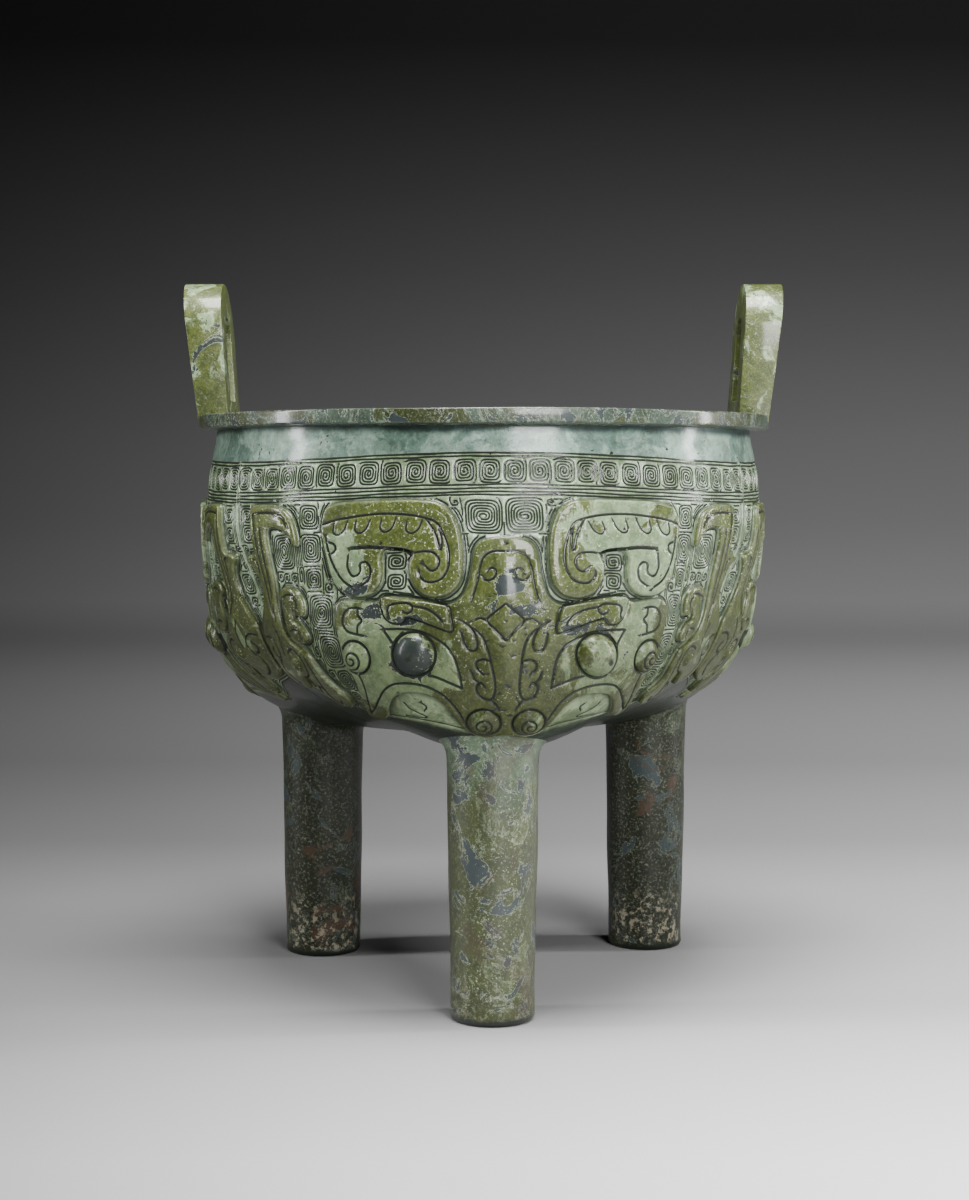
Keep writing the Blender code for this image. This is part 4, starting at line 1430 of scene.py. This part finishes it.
def ornament_bronze(tree):
    """The panels: celadon ground with dark cuts, olive and mint figures with pale edges, teal below."""
    made, nodes, shader = material("ornament_bronze")
    vector = nodes.add("TexCoord").outputs["Object"]
    values = {}
    for name in ("groove", "raised", "edge", "ornament", "painted_shade_by_figures", "low", "mint", "slate"):
        values[name] = nodes.add("Attribute", attribute_name=name).outputs["Fac"]

    # Ground, figures and the plain belly, whose dark teal is partly painted shade
    share = nodes.math("ADD", 0.3, values["mint"])
    slate = nodes.math("ADD", 0.3, values["slate"])
    ground = patina(nodes, tree, vector, CELADON, MINT, 0.45, 0.05, 0.1)
    figure = patina(nodes, tree, vector, OLIVE, MINT, share, slate, 0.8)
    below = patina(nodes, tree, vector, BELLY, DEEP_TEAL, 0.3, 0.2, 0.1)
    colour = nodes.mix(nodes.band(values["raised"], 0.2, 0.7), ground["Color"], figure["Color"])
    colour = nodes.mix(values["ornament"], below["Color"], colour)

    # Worn edges that also carry a painted highlight, painted shade low down, and painted shade on the ground
    # beside the figures
    patchy_edges = nodes.band(nodes.noise(vector, 150, 5), 0.3, 0.6)
    wear_and_highlight = nodes.math("MULTIPLY", nodes.band(values["edge"], 0.3, 0.95), patchy_edges)
    colour = nodes.mix(nodes.math("MULTIPLY", wear_and_highlight, 0.18), colour, PALE)
    # Painted shade: the lower panel and the plain skin below it are darkened.
    colour = nodes.tinted(values["low"], colour, PAINTED_LOW_SHADE_TINT)
    # Painted shade: the ground next to each figure is darkened.
    colour = nodes.tinted(nodes.math("MULTIPLY", values["painted_shade_by_figures"], 0.92), colour, SHADE_BY_FIGURES_TINT)

    # Dirt in the grooves, together with painted shade of their depth
    kept = nodes.band(nodes.noise(vector, 90, 4), 0.1, 0.35)
    dirt_and_shade = nodes.math("MULTIPLY", nodes.band(values["groove"], -0.05, 0.2), kept)
    colour = nodes.mix(nodes.math("MULTIPLY", dirt_and_shade, 0.97), colour, DARK)
    rough = nodes.math("ADD", figure["Roughness"], nodes.math("MULTIPLY", values["groove"], 0.4))
    gloss = nodes.math("MULTIPLY_ADD", values["low"], -0.45, 0.6)
    finish_shader(nodes, shader, colour, rough, figure["Height"], PATINA_DEPTH, 0.15, gloss)
    nodes.put(shader, Specular_IOR_Level=0.3)
    return made


def plain_bronze(name, tree, main, second, share, slate, specks, fineness, metallic=0.2, rim_shadow=0.0):
    """Plain parts: the neck, rim and handles. The last argument sets how strongly a shadow is painted on the
    skin right under the rim.
    """
    made, nodes, shader = material(name)
    vector = nodes.add("TexCoord").outputs["Object"]
    z = nodes.put(nodes.add("SeparateXYZ"), Vector=vector).outputs["Z"]
    wander = nodes.math("MULTIPLY_ADD", nodes.noise(vector, 24, 4), 0.006, -0.003)
    scaled = nodes.put(nodes.add("VectorMath", operation="SCALE"), Vector=vector, Scale=fineness)
    skin = patina(nodes, tree, scaled.outputs["Vector"], main, second, share, slate, specks)
    # Painted shadow: a dark band on the skin just under the rim, its edge wandering a little.
    shadow = nodes.band(nodes.math("ADD", z, wander), RIM_UNDER - 0.0036, RIM_UNDER - 0.0012)
    colour = nodes.tinted(nodes.math("MULTIPLY", shadow, rim_shadow), skin["Color"], RIM_SHADOW_TINT)
    finish_shader(nodes, shader, colour, skin["Roughness"], skin["Height"], PATINA_DEPTH, metallic)
    return made


def leg_bronze(name, tree, upper, lower, second, slate, crust, gloss):
    """A leg: one colour above and another below, rust and cream crust near a black-edged foot."""
    made, nodes, shader = material(name)
    vector = nodes.add("TexCoord").outputs["Object"]
    z = nodes.put(nodes.add("SeparateXYZ"), Vector=vector).outputs["Z"]
    wander = nodes.math("MULTIPLY_ADD", nodes.noise(vector, 45, 5, 0.6, 0.5), 0.06, -0.03)
    level = nodes.math("ADD", z, wander)
    main = nodes.mix(nodes.band(level, 0.066, 0.092), lower, upper)
    skin = patina(nodes, tree, vector, main, second, 0.3, slate, gloss * 0.45)
    rusty = nodes.math("MULTIPLY", nodes.band(nodes.noise(vector, 38, 6, 0.6, 1.0), 0.57, 0.62), crust)
    colour = nodes.mix(rusty, skin["Color"], RUST)
    low = nodes.band(level, 0.026, 0.008)
    crumbs = nodes.math("MULTIPLY", nodes.band(nodes.noise(vector, 420, 5, 0.7), 0.52, 0.6), low)
    colour = nodes.mix(nodes.math("MULTIPLY", crumbs, crust * 0.5), colour, CREAM)
    foot = nodes.band(nodes.math("ADD", z, nodes.math("MULTIPLY", wander, 0.05)), 0.0035, 0.0012)
    colour = nodes.mix(foot, colour, DARK)
    finish_shader(
        nodes, shader, colour, skin["Roughness"], skin["Height"], LEG_PATINA_DEPTH, 0.1, gloss, 0.38)
    nodes.put(shader, Specular_IOR_Level=0.2)
    return made


def dress(piece, made):
    piece.data.materials.clear()
    piece.data.materials.append(made)
    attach(piece, "root")
    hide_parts("ding_vessel")


# Stage

CAMERA_PLACE = (0.00035, -0.726, 0.1728)
CAMERA_PITCH = 0.0585
FOCAL_PIXELS = 2077.2
IMAGE_HEIGHT = 1200
SENSOR_WIDTH = 36

# Area lights: name, place, the point they face, size and power
LIGHTS = (
    ("strip_left", (-1.05, -0.16, 0.45), (0, 0, 0.12), (0.12, 0.9), 10),
    ("strip_right", (1.05, 0.06, 0.45), (0, 0, 0.12), (0.10, 0.9), 11),
    ("overhead", (0.05, -0.25, 1.25), (0, -0.03, 0), (0.6, 0.5), 38),
    ("front_soft", (0.55, -1.45, 0.6), (0, 0, 0.15), (0.5, 0.7), 29),
)
SURROUNDINGS = 0.03

# The sweep: where it starts and bends up, its width, the bend's radius and the height above the bend
SWEEP_FRONT = -3.0
SWEEP_BACK = 1.6
SWEEP_WIDTH = 8.0
SWEEP_RADIUS = 0.9
SWEEP_RISE = 2.5

# Greys of the sweep along its length, from the front up the backdrop: painted light falloff, with painted
# shade on the floor around the vessel
FLOOR_PAINTED_LIGHT = [
    (-0.4, 0.8), (-0.21, 0.78), (-0.137, 0.62), (-0.046, 0.4), (0.08, 0.34), (0.26, 0.22), (0.54, 0.2),
    (1.08, 0.32), (1.82, 0.44), (2.17, 0.32), (2.43, 0.27), (2.66, 0.21), (2.86, 0.155), (3.04, 0.11),
    (3.19, 0.073), (3.34, 0.037)]

# How far aside the backdrop starts and ends to darken, and its brightness there: painted light falloff toward
# the left
PAINTED_SIDE_FALLOFF = {"From_Min": -0.3, "From_Max": 0.3, "To_Min": 0.31, "To_Max": 1.02}


def set_camera():
    data = bpy.data.cameras.new("camera")
    data.sensor_width = SENSOR_WIDTH
    data.lens = SENSOR_WIDTH * FOCAL_PIXELS / IMAGE_HEIGHT
    camera = bpy.data.objects.new("camera", data)
    camera.location = CAMERA_PLACE
    camera.rotation_euler = (math.pi / 2 - CAMERA_PITCH, 0, 0)
    bpy.context.scene.collection.objects.link(camera)
    bpy.context.scene.camera = camera
    bpy.context.view_layer.update()


def area_light(name, place, target, size, power):
    data = bpy.data.lights.new(name, "AREA")
    data.shape = "RECTANGLE"
    data.size, data.size_y = size
    data.energy = power
    light = bpy.data.objects.new(name, data)
    light.location = place
    light.rotation_euler = (Vector(target) - Vector(place)).to_track_quat("-Z", "Y").to_euler()
    bpy.context.scene.collection.objects.link(light)


def floor_material():
    """Pale grey with painted light: it follows the painted greys along the floor's length, with painted shade
    around the vessel, and darkens toward the left as painted falloff.
    """
    made, nodes, shader = material("pale_floor_painted_light")
    place = nodes.put(nodes.add("SeparateXYZ"), Vector=nodes.add("TexCoord").outputs["Object"]).outputs
    start, end = FLOOR_PAINTED_LIGHT[0][0], FLOOR_PAINTED_LIGHT[-1][0]
    share = nodes.put(
        nodes.add("MapRange"), Value=nodes.math("ADD", place["Y"], place["Z"]), From_Min=start, From_Max=end)
    tone = nodes.put(nodes.add("ValToRGB"), Fac=share.outputs["Result"])
    stops = tone.color_ramp.elements
    for stop, (at, grey) in zip(stops, (FLOOR_PAINTED_LIGHT[0], FLOOR_PAINTED_LIGHT[-1])):
        stop.position = (at - start) / (end - start)
        stop.color = (grey, grey, grey, 1)
    for at, grey in FLOOR_PAINTED_LIGHT[1:-1]:
        stops.new((at - start) / (end - start)).color = (grey, grey, grey, 1)
    ahead = nodes.math("ADD", nodes.math("MAXIMUM", place["Y"], -0.4), -CAMERA_PLACE[1])
    aside = nodes.math("DIVIDE", place["X"], ahead)
    slope = nodes.put(nodes.add("MapRange"), Value=aside, **PAINTED_SIDE_FALLOFF)
    colour = nodes.mix(1.0, tone.outputs["Color"], slope.outputs["Result"], "MULTIPLY")
    nodes.put(shader, Base_Color=colour, Roughness=0.8, Specular_IOR_Level=0.0)
    return made


def sweep():
    """A pale floor that curves up into a backdrop."""
    bpy.ops.object.select_all(action="DESELECT")
    bpy.ops.mesh.primitive_plane_add(size=1)
    floor = named("floor")
    bpy.ops.object.mode_set(mode="EDIT")
    bpy.ops.mesh.select_all(action="SELECT")
    bpy.ops.mesh.subdivide(number_cuts=60)
    bpy.ops.object.mode_set(mode="OBJECT")
    flat = SWEEP_BACK - SWEEP_FRONT
    bend = SWEEP_RADIUS * math.pi / 2
    for vertex in floor.data.vertices:
        x, y, z = vertex.co
        along = (y + 0.5) * (flat + bend + SWEEP_RISE)
        turn = min(max((along - flat) / SWEEP_RADIUS, 0), math.pi / 2)
        back = SWEEP_FRONT + min(along, flat) + SWEEP_RADIUS * math.sin(turn)
        up = SWEEP_RADIUS * (1 - math.cos(turn)) + max(along - flat - bend, 0)
        vertex.co = (x * SWEEP_WIDTH, back, up)
    soften(floor, 60)
    floor.data.materials.append(floor_material())


def set_world():
    world = bpy.data.worlds.new("studio")
    world.use_nodes = True
    background = world.node_tree.nodes["Background"].inputs
    background["Color"].default_value = (0.5, 0.5, 0.5, 1)
    background["Strength"].default_value = SURROUNDINGS
    bpy.context.scene.world = world


def dressed_neck(patina_tree):
    """The neck and rim, with the rim's own bronze on the faces of the rim."""
    piece = neck_and_rim()
    # The neck takes the painted shadow under the rim at full strength.
    dress(piece, plain_bronze("neck_bronze", patina_tree, TEAL, BRIGHT_TEAL, 0.5, 0.3, 0.1, 0.8, 0.35, 1.0))
    rim_bronze = plain_bronze("rim_bronze", patina_tree, RIM_OLIVE, RIM_GREEN, 0.5, 0.62, 0.5, 1.25)
    piece.data.materials.append(rim_bronze)
    for face in piece.data.polygons:
        if face.center.z > RIM_UNDER - 0.0004:
            face.material_index = 1


# The whole scene

patina_tree = patina_group()
ornament = ornament_bronze(patina_tree)
for section, name in enumerate(("panel_front", "panel_right", "panel_left")):
    dress(panel(name, section), ornament)
dressed_neck(patina_tree)
front_bronze = leg_bronze("front_leg_bronze", patina_tree, LEG_GREEN, LEG_OLIVE, LEG_LIGHT, 0.6, 0.35, 0.9)
# The rear legs get a darker copy of the leg bronze: dark patina with painted shade under the bowl.
rear_bronze_and_shade = leg_bronze("rear_leg_bronze_and_painted_shade", patina_tree, SHADED_BROWN, SHADED_BROWN, SHADED_DEEP_OLIVE, 0.55, 0.8, 0.15)
for name, place, finish in zip(
        ("leg_front", "leg_right", "leg_left"), LEG_PLACES, (front_bronze, rear_bronze_and_shade, rear_bronze_and_shade)):
    dress(leg(name, *place), finish)
handle_bronze = plain_bronze("handle_bronze", patina_tree, OLIVE, MINT, 0.35, 0.45, 0.5, 1.3)
dress(handle("handle_right", 1), handle_bronze)
dress(handle("handle_left", -1), handle_bronze)
sweep()
set_camera()
for light in LIGHTS:
    area_light(*light)
set_world()
